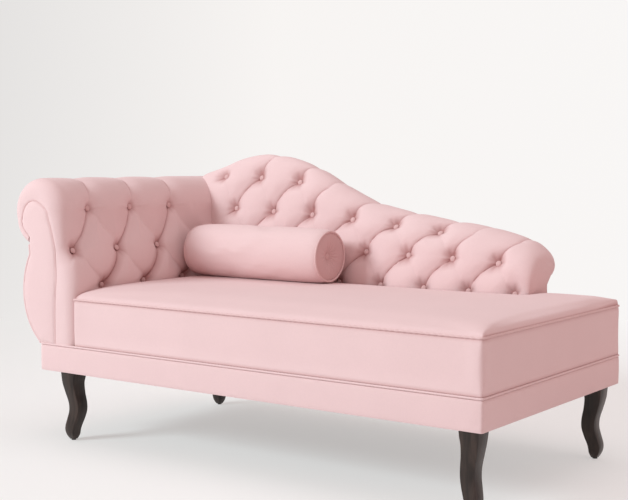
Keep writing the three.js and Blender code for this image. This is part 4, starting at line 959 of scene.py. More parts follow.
def seat_cushion(step=22):
    xs, ys, top, faces, rim = seat_mesh(step)
    count = len(ys)
    used = sorted({i for f in faces for i in f})
    index = {old: new for new, old in enumerate(used)}
    points = [top.reshape(-1, 3)[i] for i in used]
    faces = [[index[i] for i in f] for f in faces]
    ring = [index[i * count + j] for i, j in rim]
    rim_at = np.array([[xs[i], ys[j]] for i, j in rim])
    on_front = rim_at[:, 1] < SEAT_DRAW + 0.1
    on_foot = rim_at[:, 0] > LENGTH - SEAT_DRAW - 0.1
    on_rear = rim_at[:, 1] > DEPTH - SEAT_DRAW - 0.1
    # The rim under the piping gets the most painted shade.
    painted_shade = np.zeros(len(points))
    painted_shade[ring] = WALL_PAINTED_SHADE[0]
    for share, draw, wall_shade in list(zip(WALL_SHARES, WALL_DRAW, WALL_PAINTED_SHADE))[1:]:
        z = PAD_BOTTOM + (PIPING_LEVEL - PAD_BOTTOM) * share
        inset = SEAT_DRAW * draw
        level = rim_at.copy()
        level[:, 1] = np.where(on_front, inset, np.where(on_rear, DEPTH - inset, level[:, 1]))
        level[:, 0] = np.where(on_foot, LENGTH - inset, level[:, 0])
        level = np.concatenate([level, np.full((len(level), 1), z)], 1)
        near = len(points)
        full = math.sin(math.pi * min(max(share, 0), 1))
        points.extend(round_foot(level, inset, FOOT_CORNER + FOOT_FULL * full))
        painted_shade = np.append(painted_shade, np.full(len(level), wall_shade))
        new = list(range(near, near + len(level)))
        around = zip(ring, ring[1:] + ring[:1], new, new[1:] + new[:1])
        faces += [[a, b, d, c] for a, b, c, d in around]
        ring = new
    faces.append(ring[::-1])
    points = np.array(points)
    x, y, z = points.T
    held = (np.abs(z - PIPING_LEVEL) < 1) | (z < PAD_BOTTOM + 12)
    held |= (x < ARM_FACE + 14) | ((x < BACK_FOOT + 1) & (y > BACK_FACE - 24))
    to_corner = [np.hypot(LENGTH - x, side - y) for side in (0, DEPTH)]
    held |= np.minimum(*to_corner) < CORNER_HELD
    return points + swell("seat_cushion", points, faces, held, cap=3), faces, painted_shade


# %% Make the seat cushion
points, faces, painted_shade = seat_cushion()
seat_piece = mesh_object("seat_cushion", points, faces, 75, painted_shade)
refine = seat_piece.modifiers.new("refine", "SUBSURF")
refine.levels = refine.render_levels = 1
print("seat cushion:", len(seat_piece.data.polygons), "faces")

# %% [markdown]
# ## The band around the base
# The rail is covered with the same cloth, pulled over its lower edge. It is a loft of one
# outline at eleven levels, which gives its soft lower edge and a faint wave of the cloth.

# %% Outline of the base
def base_outline(inset, head=26.0, foot=7.0, corner=10, step=30):
    x0, x1, y0, y1 = inset, LENGTH - inset, inset, DEPTH - inset
    parts = []
    for cx, cy, radius, start in ((x0, y0, head, 180), (x1, y0, foot, 270), (x1, y1, foot, 0),
                                  (x0, y1, head, 90)):
        radius = max(radius - inset, 0.5)
        centre = (cx + radius * (1 if cx == x0 else -1), cy + radius * (1 if cy == y0 else -1))
        parts.append(arc(centre, radius, start, start + 90, corner))
    line = []
    for part, after in zip(parts, parts[1:] + parts[:1]):
        line.extend(part)
        gap = after[0] - part[-1]
        steps = max(1, int(np.linalg.norm(gap) / step))
        line.extend(part[-1] + gap * k / steps for k in range(1, steps))
    return np.array(line)


# %% Make the band
BAND_LEVELS = [(LEG_TOP + 3, 9), (LEG_TOP + 0.6, 6), (LEG_TOP, 3.5), (LEG_TOP + 0.6, 1.2),
               (LEG_TOP + 3, 0.2), (LEG_TOP + 12, 0), (244, -0.4), (272, 0), (278.5, 0.6),
               (281, 3.5), (281, 9)]


def band():
    rings = []
    for z, inset in BAND_LEVELS:
        line = base_outline(max(inset, 0))
        wave = 0.35 * np.sin(np.arange(len(line)) * 1.9) * math.sin((z - LEG_TOP) / 25)
        middle = np.array([LENGTH / 2, DEPTH / 2])
        out = np.sign(line - middle) * (np.abs(line - middle) > middle - 2)
        line = line + out * (wave[:, None] - min(inset, 0))
        rings.append(np.concatenate([line, np.full((len(line), 1), z)], 1))
    rings.append(np.concatenate([base_outline(9), np.full((len(rings[0]), 1), LEG_TOP + 3)], 1))
    rings = np.array(rings)
    return rings.reshape(-1, 3), grid_faces(*rings.shape[:2], wrap=True, quads=True)


band_piece = mesh_object("base_band", *band(), 50)
print("band:", len(BAND_LEVELS), "levels")

# %% [markdown]
# ## The legs
# Each leg is a square post sawn to a double curve, with its edges taken off. A Curve
# modifier could bend a post, but a sawn leg also changes its thickness. So its size and its
# shift outwards are read from one small table, and the rings between them are lofted.

# %% Sizes of a leg
LEG_RINGS = np.array([(0, 0.3, 0.15), (0.06, 0.52, 0.22), (0.13, 0.62, 0.3), (0.2, 0.67, 0.11),
                      (0.3, 0.705, -0.45), (0.42, 0.72, -0.97), (0.54, 0.735, -0.92),
                      (0.68, 0.785, -0.38), (0.82, 0.87, 0.03), (0.92, 0.96, 0), (1, 1, 0)])
LEG_PLACES = {"front_head": (120, 32, -1, -1), "front_foot": (1460.5, 32, 1, -1),
              "rear_head": (120, 693, -1, 1), "rear_foot": (1460.5, 728, 1, 1)}
LEG_HALF, CURL_ALONG, CURL_ACROSS = 27.0, 10.3, 7.2
SOLE_LEVEL, LEG_RISE, BEVEL_SHARE = 3.3, 202.2, 0.13


# %% Make the legs
def leg_loft(x, y, out_x, out_y, rows=46):
    rings = smooth_curve(LEG_RINGS, 24)
    shares = np.linspace(0, 1, rows)
    size = np.interp(shares, rings[:, 0], rings[:, 1]) * LEG_HALF
    curl = np.interp(shares, rings[:, 0], rings[:, 2])
    turns = [(1, -1), (1, 1), (-1, 1), (-1, -1)]
    loft = []
    for share, half, shift in zip(shares, size, curl):
        bevel = half * BEVEL_SHARE
        cut, tip = half - bevel, half - bevel * 0.3
        ring = []
        for sx, sy in turns:
            pair = [(sx * cut, sy * half), (sx * tip, sy * tip), (sx * half, sy * cut)]
            ring += pair if (sx * sy) < 0 else pair[::-1]
        z = SOLE_LEVEL + share * LEG_RISE
        middle_x, middle_y = x + out_x * CURL_ALONG * shift, y + out_y * CURL_ACROSS * shift
        loft.append([(middle_x + px, middle_y + py, z) for px, py in ring])
    return closed_loft(np.array(loft), quads=True)


legs = {name: mesh_object("leg_" + name + "_turned", *leg_loft(*place), 28)
        for name, place in LEG_PLACES.items()}
print("legs:", ", ".join(legs))

# %% [markdown]
# ## The bolster
# A round cushion with a welt at each end. Each end disc is gathered to a covered button. Its
# profile is turned about its axis as on a lathe, the gathers are a wave that dies out away
# from the button, and the cloth pass swells its side, but not where it rests on the seat.

# %% Profile of the bolster
BOLSTER = np.array([426.5, 545.0, 539.3])
HALF, END_RADIUS, FULL = 263.5, 75.0, 9.0
# The end discs carry painted shade: a darker tone over each whole disc.
BUTTON_IN, GATHER_DEEP, FOLDS, END_PAINTED_SHADE, FLAT_BELOW = 15.5, 1.3, 18, 0.45, 70


def bolster_profile():
    side = [(-1, 0), (-0.985, 2.4), (-0.94, 6), (-0.8, 8.2), (-0.6, FULL)]
    along = [(share * (HALF - 5), END_RADIUS + more) for share, more in side]
    along += [(x, END_RADIUS + FULL) for x in np.linspace(-0.5, 0.5, 11) * (HALF - 5)]
    along += [(-x, r) for x, r in along[4::-1]]
    cap = [(0, -BUTTON_IN), (4, -15), (9, -13), (14, -10), (22, -6.6), (32, -3.2), (44, -1),
           (56, 0), (66, -0.6), (71, -2.2), (73, -4)]
    left = [(-(HALF - 2) - dip, r) for r, dip in cap]
    right = [((HALF - 2) + dip, r) for r, dip in cap[::-1]]
    return np.array(left + along + right)


# %% Make the bolster
def bolster_mesh(sides=72):
    profile = bolster_profile()
    turn = np.linspace(0, 2 * math.pi, sides, endpoint=False)
    x = np.repeat(profile[:, :1], sides, 1)
    radius = np.repeat(profile[:, 1:], sides, 1)
    end = np.clip((np.abs(x) - (HALF - 20)) / 4, 0, 1) * (radius < 72)
    gather = end * np.cos(FOLDS * turn) * GATHER_DEEP * np.exp(-((radius - 22) / 22) ** 2)
    x = x + gather * np.sign(x)
    points = np.stack([BOLSTER[0] + x, BOLSTER[1] + radius * np.cos(turn),
                       BOLSTER[2] + radius * np.sin(turn)], -1)
    points, faces = closed_loft(points, quads=True)
    held = (end.ravel() > 0) | (np.abs(x).ravel() > HALF - 12)
    move = swell("bolster", points, faces, held, cap=2, shrink=-0.008)
    flat = np.clip((points[:, 2] - (BOLSTER[2] - FLAT_BELOW)) / -8, 0, 1)
    move[:, 2] *= 1 - flat
    # The last value is the painted shade mask of the end discs.
    return points + move, faces, END_PAINTED_SHADE * (end > 0)


points, faces, painted_shade = bolster_mesh()
bolster_piece = mesh_object("bolster_cushion", points, faces, 50, painted_shade)
soften = bolster_piece.modifiers.new("soften", "SUBSURF")
soften.levels = soften.render_levels = 1
print("bolster:", len(bolster_piece.data.polygons), "faces before it is softened")

# %% [markdown]
# ## A node group that lays a cord along a line
# Welts and pipings are cords in a sleeve of cloth, which puckers a little where it is sewn. A
# curve with a bevel would give a smooth tube. Geometry Nodes can also vary its radius along
# the way, and one group with named inputs serves every cord.

# %% Helpers for node trees
def group_socket(tree, name, kind, default=None, out=False):
    way = "OUTPUT" if out else "INPUT"
    made = tree.interface.new_socket(name, in_out=way, socket_type=kind)
    if default is not None:
        made.default_value = default
    return made


def node(tree, kind, inputs=None, **settings):
    made = tree.nodes.new(kind)
    for key, value in settings.items():
        setattr(made, key, value)
    for key, value in (inputs or {}).items():
        if isinstance(value, bpy.types.NodeSocket):
            tree.links.new(value, made.inputs[key])
        else:
            made.inputs[key].default_value = value
    return made


def calc(tree, operation, *values, kind="ShaderNodeMath"):
    return node(tree, kind, dict(enumerate(values)), operation=operation).outputs[0]


# %% The cord's node group
def cord_group():
    tree = bpy.data.node_groups.new("sewn_cord", "GeometryNodeTree")
    group_socket(tree, "Geometry", "NodeSocketGeometry")
    group_socket(tree, "Radius", "NodeSocketFloat", 0.003)
    group_socket(tree, "Pucker", "NodeSocketFloat", 0.06)
    group_socket(tree, "Pucker Length", "NodeSocketFloat", 0.011)
    group_socket(tree, "Step", "NodeSocketFloat", 0.003)
    group_socket(tree, "Material", "NodeSocketMaterial")
    group_socket(tree, "Geometry", "NodeSocketGeometry", out=True)
    given = node(tree, "NodeGroupInput").outputs
    curve = node(tree, "GeometryNodeMeshToCurve", {"Mesh": given["Geometry"]})
    even_curve = node(tree, "GeometryNodeResampleCurve", {"Curve": curve.outputs[0]},
                      mode="LENGTH")
    tree.links.new(given["Step"], even_curve.inputs["Length"])
    along = node(tree, "GeometryNodeSplineParameter").outputs["Length"]
    phase = calc(tree, "DIVIDE", along, given["Pucker Length"])
    wobble = node(tree, "ShaderNodeTexNoise", {"W": phase, "Scale": 0.9, "Detail": 1.0},
                  noise_dimensions="1D").outputs[0]
    wave = calc(tree, "SINE", calc(tree, "MULTIPLY", phase, 2 * math.pi))
    both = calc(tree, "MULTIPLY", wave, calc(tree, "MULTIPLY", wobble, 1.6))
    share = calc(tree, "MULTIPLY_ADD", both, given["Pucker"], 1.0)
    circle = node(tree, "GeometryNodeCurvePrimitiveCircle",
                  {"Resolution": 12, "Radius": given["Radius"]})
    sized = node(tree, "GeometryNodeSetCurveRadius",
                 {"Curve": even_curve.outputs[0], "Radius": share})
    tube = node(tree, "GeometryNodeCurveToMesh",
                {"Curve": sized.outputs[0], "Profile Curve": circle.outputs[0], "Fill Caps": True})
    if "Scale" in tube.inputs:
        tree.links.new(share, tube.inputs["Scale"])
    smooth = node(tree, "GeometryNodeSetShadeSmooth", {"Geometry": tube.outputs[0]})
    real = node(tree, "GeometryNodeRealizeInstances", {"Geometry": smooth.outputs[0]})
    painted = node(tree, "GeometryNodeSetMaterial", {"Geometry": real.outputs[0],
                                                     "Material": given["Material"]})
    node(tree, "NodeGroupOutput", {"Geometry": painted.outputs[0]})
    return tree


# %% From a node group to a plain mesh
def built(source, group, values, name):
    modifier = source.modifiers.new("build", "NODES")
    modifier.node_group = group
    sockets = {s.name: s.identifier for s in group.interface.items_tree if s.in_out == "INPUT"}
    for key, value in values.items():
        modifier[sockets[key]] = value
    graph = bpy.context.evaluated_depsgraph_get()
    mesh = bpy.data.meshes.new_from_object(source.evaluated_get(graph))
    mesh.name = name
    bpy.data.objects.remove(source)
    return linked(name, mesh)


def line_object(name, lines):
    points, edges = [], []
    for line, closed in lines:
        first, count = len(points), len(line)
        points.extend(np.asarray(line).tolist())
        edges += [(first + i, first + i + 1) for i in range(count - 1)]
        edges += [(first + count - 1, first)] if closed else []
    mesh = bpy.data.meshes.new(name)
    mesh.from_pydata(placed(points).tolist(), edges, [])
    return linked(name, mesh)


# %% [markdown]
# ## A node group that sews on buttons
# Each button is a small dome of cloth over a metal shell. There are dozens of them, so they
# are placed as instances of one dome: one point and one way give each its place, and a
# seeded turn keeps them from looking stamped.

# %% The buttons' node group
def button_group():
    tree = bpy.data.node_groups.new("covered_buttons", "GeometryNodeTree")
    group_socket(tree, "Geometry", "NodeSocketGeometry")
    group_socket(tree, "Radius", "NodeSocketFloat", 0.011)
    group_socket(tree, "Height", "NodeSocketFloat", 0.007)
    group_socket(tree, "Turn Seed", "NodeSocketInt", 3)
    group_socket(tree, "Material", "NodeSocketMaterial")
    group_socket(tree, "Geometry", "NodeSocketGeometry", out=True)
    given = node(tree, "NodeGroupInput").outputs
    ball = node(tree, "GeometryNodeMeshUVSphere", {"Segments": 28, "Rings": 14, "Radius": 1.0})
    size = node(tree, "ShaderNodeCombineXYZ", {"X": given["Radius"], "Y": given["Radius"],
                                               "Z": given["Height"]})
    dome = node(tree, "GeometryNodeTransform",
                {"Geometry": ball.outputs[0], "Scale": size.outputs[0]})
    way = node(tree, "GeometryNodeInputNamedAttribute", {"Name": "way"},
               data_type="FLOAT_VECTOR")
    facing_way = node(tree, "FunctionNodeAlignRotationToVector", {"Vector": way.outputs[0]},
                      axis="Z")
    spin = node(tree, "FunctionNodeRandomValue", {"Seed": given["Turn Seed"]},
                data_type="FLOAT")
    spin.inputs[3].default_value = 6.28
    turned = node(tree, "FunctionNodeRotateRotation", {"Rotation": facing_way.outputs[0]},
                  rotation_space="LOCAL")
    around = node(tree, "FunctionNodeAxisAngleToRotation", {"Axis": (0, 0, 1)})
    tree.links.new(spin.outputs[1], around.inputs["Angle"])
    tree.links.new(around.outputs[0], turned.inputs["Rotate By"])
    dots = node(tree, "GeometryNodeMeshToPoints", {"Mesh": given["Geometry"]})
    placed_on = node(tree, "GeometryNodeInstanceOnPoints", {"Points": dots.outputs[0],
                                                            "Instance": dome.outputs[0],
                                                            "Rotation": turned.outputs[0]})
    real = node(tree, "GeometryNodeRealizeInstances", {"Geometry": placed_on.outputs[0]})
    smooth = node(tree, "GeometryNodeSetShadeSmooth", {"Geometry": real.outputs[0]})
    painted = node(tree, "GeometryNodeSetMaterial", {"Geometry": smooth.outputs[0],
                                                     "Material": given["Material"]})
    node(tree, "NodeGroupOutput", {"Geometry": painted.outputs[0]})
    return tree


# %% Where each button sits
def button_points(name, places):
    mesh = bpy.data.meshes.new(name)
    mesh.from_pydata(placed([at for at, way in places]).tolist(), [], [])
    ways = mesh.attributes.new("way", "FLOAT_VECTOR", "POINT")
    ways.data.foreach_set("vector", np.array([way for at, way in places], float).ravel())
    return linked(name, mesh)


ARM_SUNK, BACK_SUNK = 25.0, 21.5


def arm_button_places():
    for i, j in ARM_BUTTONS:
        at = arm_section.at(np.array(j * ARM_HIGH))
        out = arm_section.out(np.array(j * ARM_HIGH))
        full = ARM_FULL * math.sin(math.pi * j * ARM_HIGH / ARM_FULL_RUN) ** 2
        at = at - out * (ARM_SUNK - full)
        yield (at[0], ARM_FIRST + i * ARM_WIDE, at[1]), (out[0], 0, out[1])


def back_button_places():
    for i, j in BACK_BUTTONS:
        column = column_x(i)
        x = np.array(column + row_shift(column, j))
        share = j * row_rise(column) / crest_of(x)
        at, out = back_read(back_table, x, share), back_read(back_out, x, share)
        at = at - out * BACK_SUNK
        yield (float(x), at[0], at[1]), (0, out[0], out[1])


# %% [markdown]
# ## Materials
# The cover is a matt, plainly woven cloth. A picture of cloth would tile and blur close up,
# so one node group makes its effects: a fine grain, a soft mottling, and painted shade, a
# darker and redder tone where the cloth dips into dimples, creases and seams. The painted
# shade is read from an attribute that the pads carry. The shaders stay in each material and
# hold the plain numbers themselves.

# %% Effects of cloth, with painted shade
def noise(tree, vector, scale, detail):
    inputs = {"Vector": vector, "Scale": scale, "Detail": detail}
    return node(tree, "ShaderNodeTexNoise", inputs).outputs[0]


def cloth_group():
    tree = bpy.data.node_groups.new("woven_cloth_with_painted_shade", "ShaderNodeTree")
    for name, value in (("Color", (0.8, 0.55, 0.54, 1)), ("Deep Color", (0.6, 0.3, 0.29, 1))):
        group_socket(tree, name, "NodeSocketColor", value)
    for name, value in (("Depth", 0.0), ("Weave Scale", 700.0), ("Relief", 0.35)):
        group_socket(tree, name, "NodeSocketFloat", value)
    group_socket(tree, "Color", "NodeSocketColor", out=True)
    group_socket(tree, "Roughness", "NodeSocketFloat", out=True)
    group_socket(tree, "Normal", "NodeSocketVector", out=True)
    given = node(tree, "NodeGroupInput").outputs
    spot = node(tree, "ShaderNodeTexCoord").outputs["Object"]
    cloud = noise(tree, spot, 7.0, 3.0)
    nap = noise(tree, spot, 260.0, 4.0)
    stretch = calc(tree, "MULTIPLY", spot, (1.0, 1.0, 2.6), kind="ShaderNodeVectorMath")
    thread = node(tree, "ShaderNodeTexVoronoi",
                  {"Vector": stretch, "Scale": given["Weave Scale"]}).outputs[0]
    tone = calc(tree, "ADD", calc(tree, "MULTIPLY_ADD", cloud, 0.05, 0.945),
                calc(tree, "MULTIPLY_ADD", nap, 0.06, 0.0))
    toned = node(tree, "ShaderNodeMix", {"Factor": 1.0, "A": given["Color"]}, data_type="RGBA",
                 blend_type="MULTIPLY")
    shade = node(tree, "ShaderNodeCombineColor", {0: tone, 1: tone, 2: tone})
    tree.links.new(given["Color"], toned.inputs[6])
    tree.links.new(shade.outputs[0], toned.inputs[7])
    # Painted shade: the colour is mixed towards a darker, redder shade colour by the shade mask.
    mixed = node(tree, "ShaderNodeMix", {"Factor": given["Depth"]}, data_type="RGBA")
    tree.links.new(toned.outputs[2], mixed.inputs[6])
    tree.links.new(given["Deep Color"], mixed.inputs[7])
    rough = calc(tree, "MULTIPLY_ADD", nap, 0.12, 0.8)
    relief = calc(tree, "MULTIPLY_ADD", nap, 0.8, thread)
    bump = node(tree, "ShaderNodeBump", {"Strength": given["Relief"], "Distance": 0.0005,
                                         "Height": relief})
    node(tree, "NodeGroupOutput", {0: mixed.outputs[2], 1: rough, 2: bump.outputs[0]})
    return tree


# %% Effects of wood
def wood_group():
    tree = bpy.data.node_groups.new("stained_wood", "ShaderNodeTree")
    group_socket(tree, "Light Color", "NodeSocketColor", (0.07, 0.05, 0.04, 1))
    group_socket(tree, "Dark Color", "NodeSocketColor", (0.02, 0.013, 0.01, 1))
    group_socket(tree, "Grain Scale", "NodeSocketFloat", 60.0)
    for name, kind in (("Color", "NodeSocketColor"), ("Roughness", "NodeSocketFloat"),
                       ("Normal", "NodeSocketVector")):
        group_socket(tree, name, kind, out=True)
    given = node(tree, "NodeGroupInput").outputs
    spot = node(tree, "ShaderNodeTexCoord").outputs["Object"]
    drawn = calc(tree, "MULTIPLY", spot, (1.0, 1.0, 0.09), kind="ShaderNodeVectorMath")
    grain = node(tree, "ShaderNodeTexNoise", {"Vector": drawn, "Scale": given["Grain Scale"],
                                              "Detail": 6.0, "Distortion": 0.6}).outputs[0]
    pores = noise(tree, drawn, 900.0, 2.0)
    share = node(tree, "ShaderNodeMapRange", {0: grain, 1: 0.35, 2: 0.68})
    mixed = node(tree, "ShaderNodeMix", {"Factor": share.outputs[0]}, data_type="RGBA")
    tree.links.new(given["Dark Color"], mixed.inputs[6])
    tree.links.new(given["Light Color"], mixed.inputs[7])
    rough = calc(tree, "MULTIPLY_ADD", pores, 0.25, 0.25)
    bump = node(tree, "ShaderNodeBump", {"Strength": 0.25, "Distance": 0.0004, "Height": pores})
    node(tree, "NodeGroupOutput", {0: mixed.outputs[2], 1: rough, 2: bump.outputs[0]})
    return tree


# %% A material from a group
CLOTH, WOOD = cloth_group(), wood_group()


def material(name, group, values, shade_from=None, **shader_values):
    made = bpy.data.materials.new(name)
    made.use_nodes = True
    tree = made.node_tree
    shader = tree.nodes["Principled BSDF"]
    effects = tree.nodes.new("ShaderNodeGroup")
    effects.node_tree = group
    for key, value in values.items():
        effects.inputs[key].default_value = value
    # Painted shade: a piece's shade mask attribute drives the darker shade colour.
    if shade_from:
        read = node(tree, "ShaderNodeAttribute", attribute_name=shade_from)
        tree.links.new(read.outputs["Fac"], effects.inputs["Depth"])
    tree.links.new(effects.outputs["Color"], shader.inputs["Base Color"])
    tree.links.new(effects.outputs["Roughness"], shader.inputs["Roughness"])
    tree.links.new(effects.outputs["Normal"], shader.inputs["Normal"])
    for key, value in shader_values.items():
        shader.inputs[key.replace("_", " ")].default_value = value
    return made


# %% The finishes
# PAINTED_SHADE_COLOR is painted shade: the darker, redder colour laid into dimples, creases and
# seams.
PINK, PAINTED_SHADE_COLOR = (0.775, 0.552, 0.547, 1), (0.47, 0.225, 0.215, 1)
pink_cloth = material("pink_cloth", CLOTH, {"Color": PINK, "Deep Color": PAINTED_SHADE_COLOR},
                      Sheen_Weight=0.12, Sheen_Roughness=0.5, Specular_IOR_Level=0.2)
# This cloth reads the painted shade mask that the pads, seat and bolster carry.
painted_shade_cloth = material("pink_cloth_painted_shade", CLOTH, {"Color": PINK, "Deep Color": PAINTED_SHADE_COLOR},
                        "painted_shade", Sheen_Weight=0.12, Sheen_Roughness=0.5, Specular_IOR_Level=0.2)
welt_cloth = material("pink_cloth_welt", CLOTH,
                      {"Color": (0.73, 0.5, 0.49, 1), "Deep Color": PAINTED_SHADE_COLOR}, Specular_IOR_Level=0.2)
# The buttons' pink is darker than the cover's: painted shade of the hollows they sit in.
button_cloth = material("pink_cloth_button", CLOTH,
                        {"Color": (0.66, 0.42, 0.41, 1), "Deep Color": PAINTED_SHADE_COLOR},
                        Sheen_Weight=0.12, Specular_IOR_Level=0.25)
espresso = material("espresso_wood", WOOD, {"Light Color": (0.052, 0.032, 0.025, 1),
                                            "Dark Color": (0.018, 0.011, 0.0085, 1)},
                    Coat_Weight=0.12, Coat_Roughness=0.25, Specular_IOR_Level=0.3)
timber = material("frame_timber", WOOD,
                  {"Light Color": (0.62, 0.42, 0.24, 1), "Dark Color": (0.42, 0.26, 0.13, 1),
                   "Grain Scale": 40.0})
jute = material("jute_webbing", CLOTH, {"Color": (0.42, 0.29, 0.15, 1), "Deep Color": PAINTED_SHADE_COLOR,
                                        "Weave Scale": 260.0, "Relief": 0.9})
lining = material("dust_cloth", CLOTH,
                  {"Color": (0.02, 0.02, 0.022, 1), "Deep Color": (0, 0, 0, 1),
                   "Weave Scale": 500.0, "Relief": 0.6})
steel = material("bolt_steel", WOOD, {"Light Color": (0.55, 0.55, 0.56, 1),
                                      "Dark Color": (0.42, 0.42, 0.43, 1)}, Metallic=1.0)
plastic = material("glide_plastic", WOOD, {"Light Color": (0.05, 0.05, 0.05, 1),
                                           "Dark Color": (0.03, 0.03, 0.03, 1)})
foam = material("cushion_foam", CLOTH, {"Color": (0.75, 0.66, 0.42, 1), "Deep Color": PAINTED_SHADE_COLOR,
                                        "Relief": 0.8})


def paint(obj, made):
    obj.data.materials.clear()
    obj.data.materials.append(made)


# %% [markdown]
# ## Sewing it together
# A welt closes each end of the arm, a piping runs round the top of the seat and another
# round its foot, and each end of the bolster has its own. First come the lines that the
# cords follow, from the same sizes as the pieces they join, then the cords and the buttons.

# %% Lines for the welts and pipings
def facing_welt_lines():
    inner = facing_line(160)[0]
    for y in (1.7, DEPTH - 1.7):
        line = np.stack([inner[:, 0], np.full(len(inner), y), inner[:, 1]], -1)
        yield line, False


CORD_IN = 2.9


def top_piping_line():
    start, face, radius = ARM_FACE + CLEAR, LENGTH - CORD_IN, FOOT_CORNER - CORD_IN
    front = arc((face - radius, CORD_IN + radius), radius, 270, 360, 8)
    rear = arc((face - radius, DEPTH - CORD_IN - radius), radius, 0, 90, 8)
    end = (BACK_FOOT + CLEAR, DEPTH - CORD_IN)
    line = np.concatenate([[(start, CORD_IN)], front, rear, [end]])
    return np.concatenate([line, np.full((len(line), 1), PIPING_LEVEL + 0.2)], 1)


WELT_RADIUS = END_RADIUS - 0.3


def bolster_welts():
    turn = np.linspace(0, 2 * math.pi, 90, endpoint=False)
    for x in (-HALF + 4, HALF - 4):
        ring = np.stack([np.full(90, BOLSTER[0] + x), BOLSTER[1] + WELT_RADIUS * np.cos(turn),
                         BOLSTER[2] + WELT_RADIUS * np.sin(turn)], -1)
        yield ring, True


# %% Make the cords and the buttons
CORD, BUTTONS = cord_group(), button_group()
low_line = base_outline(1.5)
low_line = np.concatenate([low_line, np.full((len(low_line), 1), BAND_TOP)], 1)
facing_welts = built(line_object("facing_welt_line", facing_welt_lines()), CORD,
                     {"Radius": 0.0019, "Pucker": 0.05, "Material": welt_cloth}, "facing_welts")
top_piping = built(line_object("top_piping_line", [(top_piping_line(), False)]), CORD,
                   {"Radius": 0.0029, "Pucker": 0.2, "Pucker Length": 0.017,
                    "Material": welt_cloth}, "seat_top_cord")
low_piping = built(line_object("low_piping_line", [(low_line, True)]), CORD,
                   {"Radius": 0.003, "Pucker": 0.07, "Material": pink_cloth}, "seat_bottom_cord")
bolster_welt = built(line_object("bolster_welt_line", bolster_welts()), CORD,
                     {"Radius": 0.0032, "Pucker": 0.05, "Material": welt_cloth}, "bolster_welts")
places = [*arm_button_places(), *back_button_places()]
couch_buttons = built(button_points("couch_button_points", places), BUTTONS,
                      {"Radius": 0.0088, "Height": 0.004, "Material": button_cloth},
                      "couch_buttons")
ends = [((BOLSTER[0] + side * (HALF - BUTTON_IN), BOLSTER[1], BOLSTER[2]), (side, 0, 0))
        for side in (-1, 1)]
bolster_buttons = built(button_points("bolster_button_points", ends), BUTTONS,
                        {"Radius": 0.0096, "Height": 0.004, "Material": button_cloth},
                        "bolster_end_buttons")
print("buttons:", len(ARM_BUTTONS) + len(BACK_BUTTONS), "on the couch and 2 on the bolster")

# %% [markdown]
# ## What each piece stands for
# Each piece rides on its body and takes the place of the imported solids that it covers. So
# when the bolster is lifted, its welts and buttons go with it.

# %% Which solids each piece stands for
named = lambda *starts: [n for n in nodes if n.startswith(starts)]
pads = {
    arm_pad_piece: ["arm_inside_cover", "arm_foam"],
    back_pad_piece: ["back_inside_cover", "back_foam", "back_top_roll"],
    seat_piece: ["seat_cover", "seat_foam"],
    bolster_piece: ["bolster_cover", "bolster_filling", "bolster_end_head", "bolster_end_foot"],
}
panels = {
    front_facing: ["arm_front_facing"], rear_facing: ["arm_rear_facing"],
    arm_outside_piece: ["arm_outside_cover"], back_outside_piece: ["back_outside_cover"],
    band_piece: ["rail_cover"], facing_welts: ["arm_facing_welt"],
    top_piping: ["seat_top_piping"], low_piping: ["seat_bottom_piping"],
    couch_buttons: named("arm_buttons", "back_buttons"),
    bolster_buttons: named("bolster_button"), bolster_welt: [],
}

# %% Body, solids and finish of each piece
for obj, stands_for in {**pads, **panels}.items():
    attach(obj, "bolster" if obj.name.startswith("bolster") else "couch")
    if stands_for:
        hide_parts(*[n for n in stands_for if n in nodes])
# The padded pieces take the cloth with painted shade.
for obj in (arm_pad_piece, back_pad_piece, bolster_piece, seat_piece):
    paint(obj, painted_shade_cloth)
for obj in (front_facing, rear_facing, arm_outside_piece, back_outside_piece, band_piece):
    paint(obj, pink_cloth)
for name, obj in legs.items():
    paint(obj, espresso)
    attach(obj, "couch")
    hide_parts("leg_" + name)

# %% [markdown]
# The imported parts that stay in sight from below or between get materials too: timber for
# the frame, jute for the webbing, and steel, plastic and foam where they belong.

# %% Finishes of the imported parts
FINISHES = {"leg_bolt": steel, "leg_glide": plastic, "web": jute, "dust": lining,
            "foam": foam, "filling": foam, "roll": foam}
for name, obj in nodes.items():
    match = [made for key, made in FINISHES.items() if key in name]
    paint(obj, match[0] if match else timber)

# %% [markdown]
# ## Studio
# A pale sweep of floor, a wide soft light from the front left, and an even room around it.
# What the camera sees of the paper is half painted light, a glow in its own pale tone, and
# half the light that falls on it, so that the shadow stays as faint as it is in the photograph.
# Further back the paper is all glow, and its tone is painted darker towards the left as
# painted shade.

# %% Tones of the studio, with painted shade and glow
SWEEP_TURN = 36.2
PAPER_LEFT_PAINTED_SHADE, PAPER_MIDDLE = (0.765, 0.75, 0.74, 1), (0.935, 0.91, 0.893, 1)
PAPER_RIGHT, PAPER_LIT = (0.945, 0.927, 0.917, 1), (0.8, 0.785, 0.78, 1)
ROOM_LIGHT, ROOM_SEEN = (0.578, 0.446, 0.431, 1), (0.93, 0.915, 0.905, 1)
BLACK = (0, 0, 0, 1)


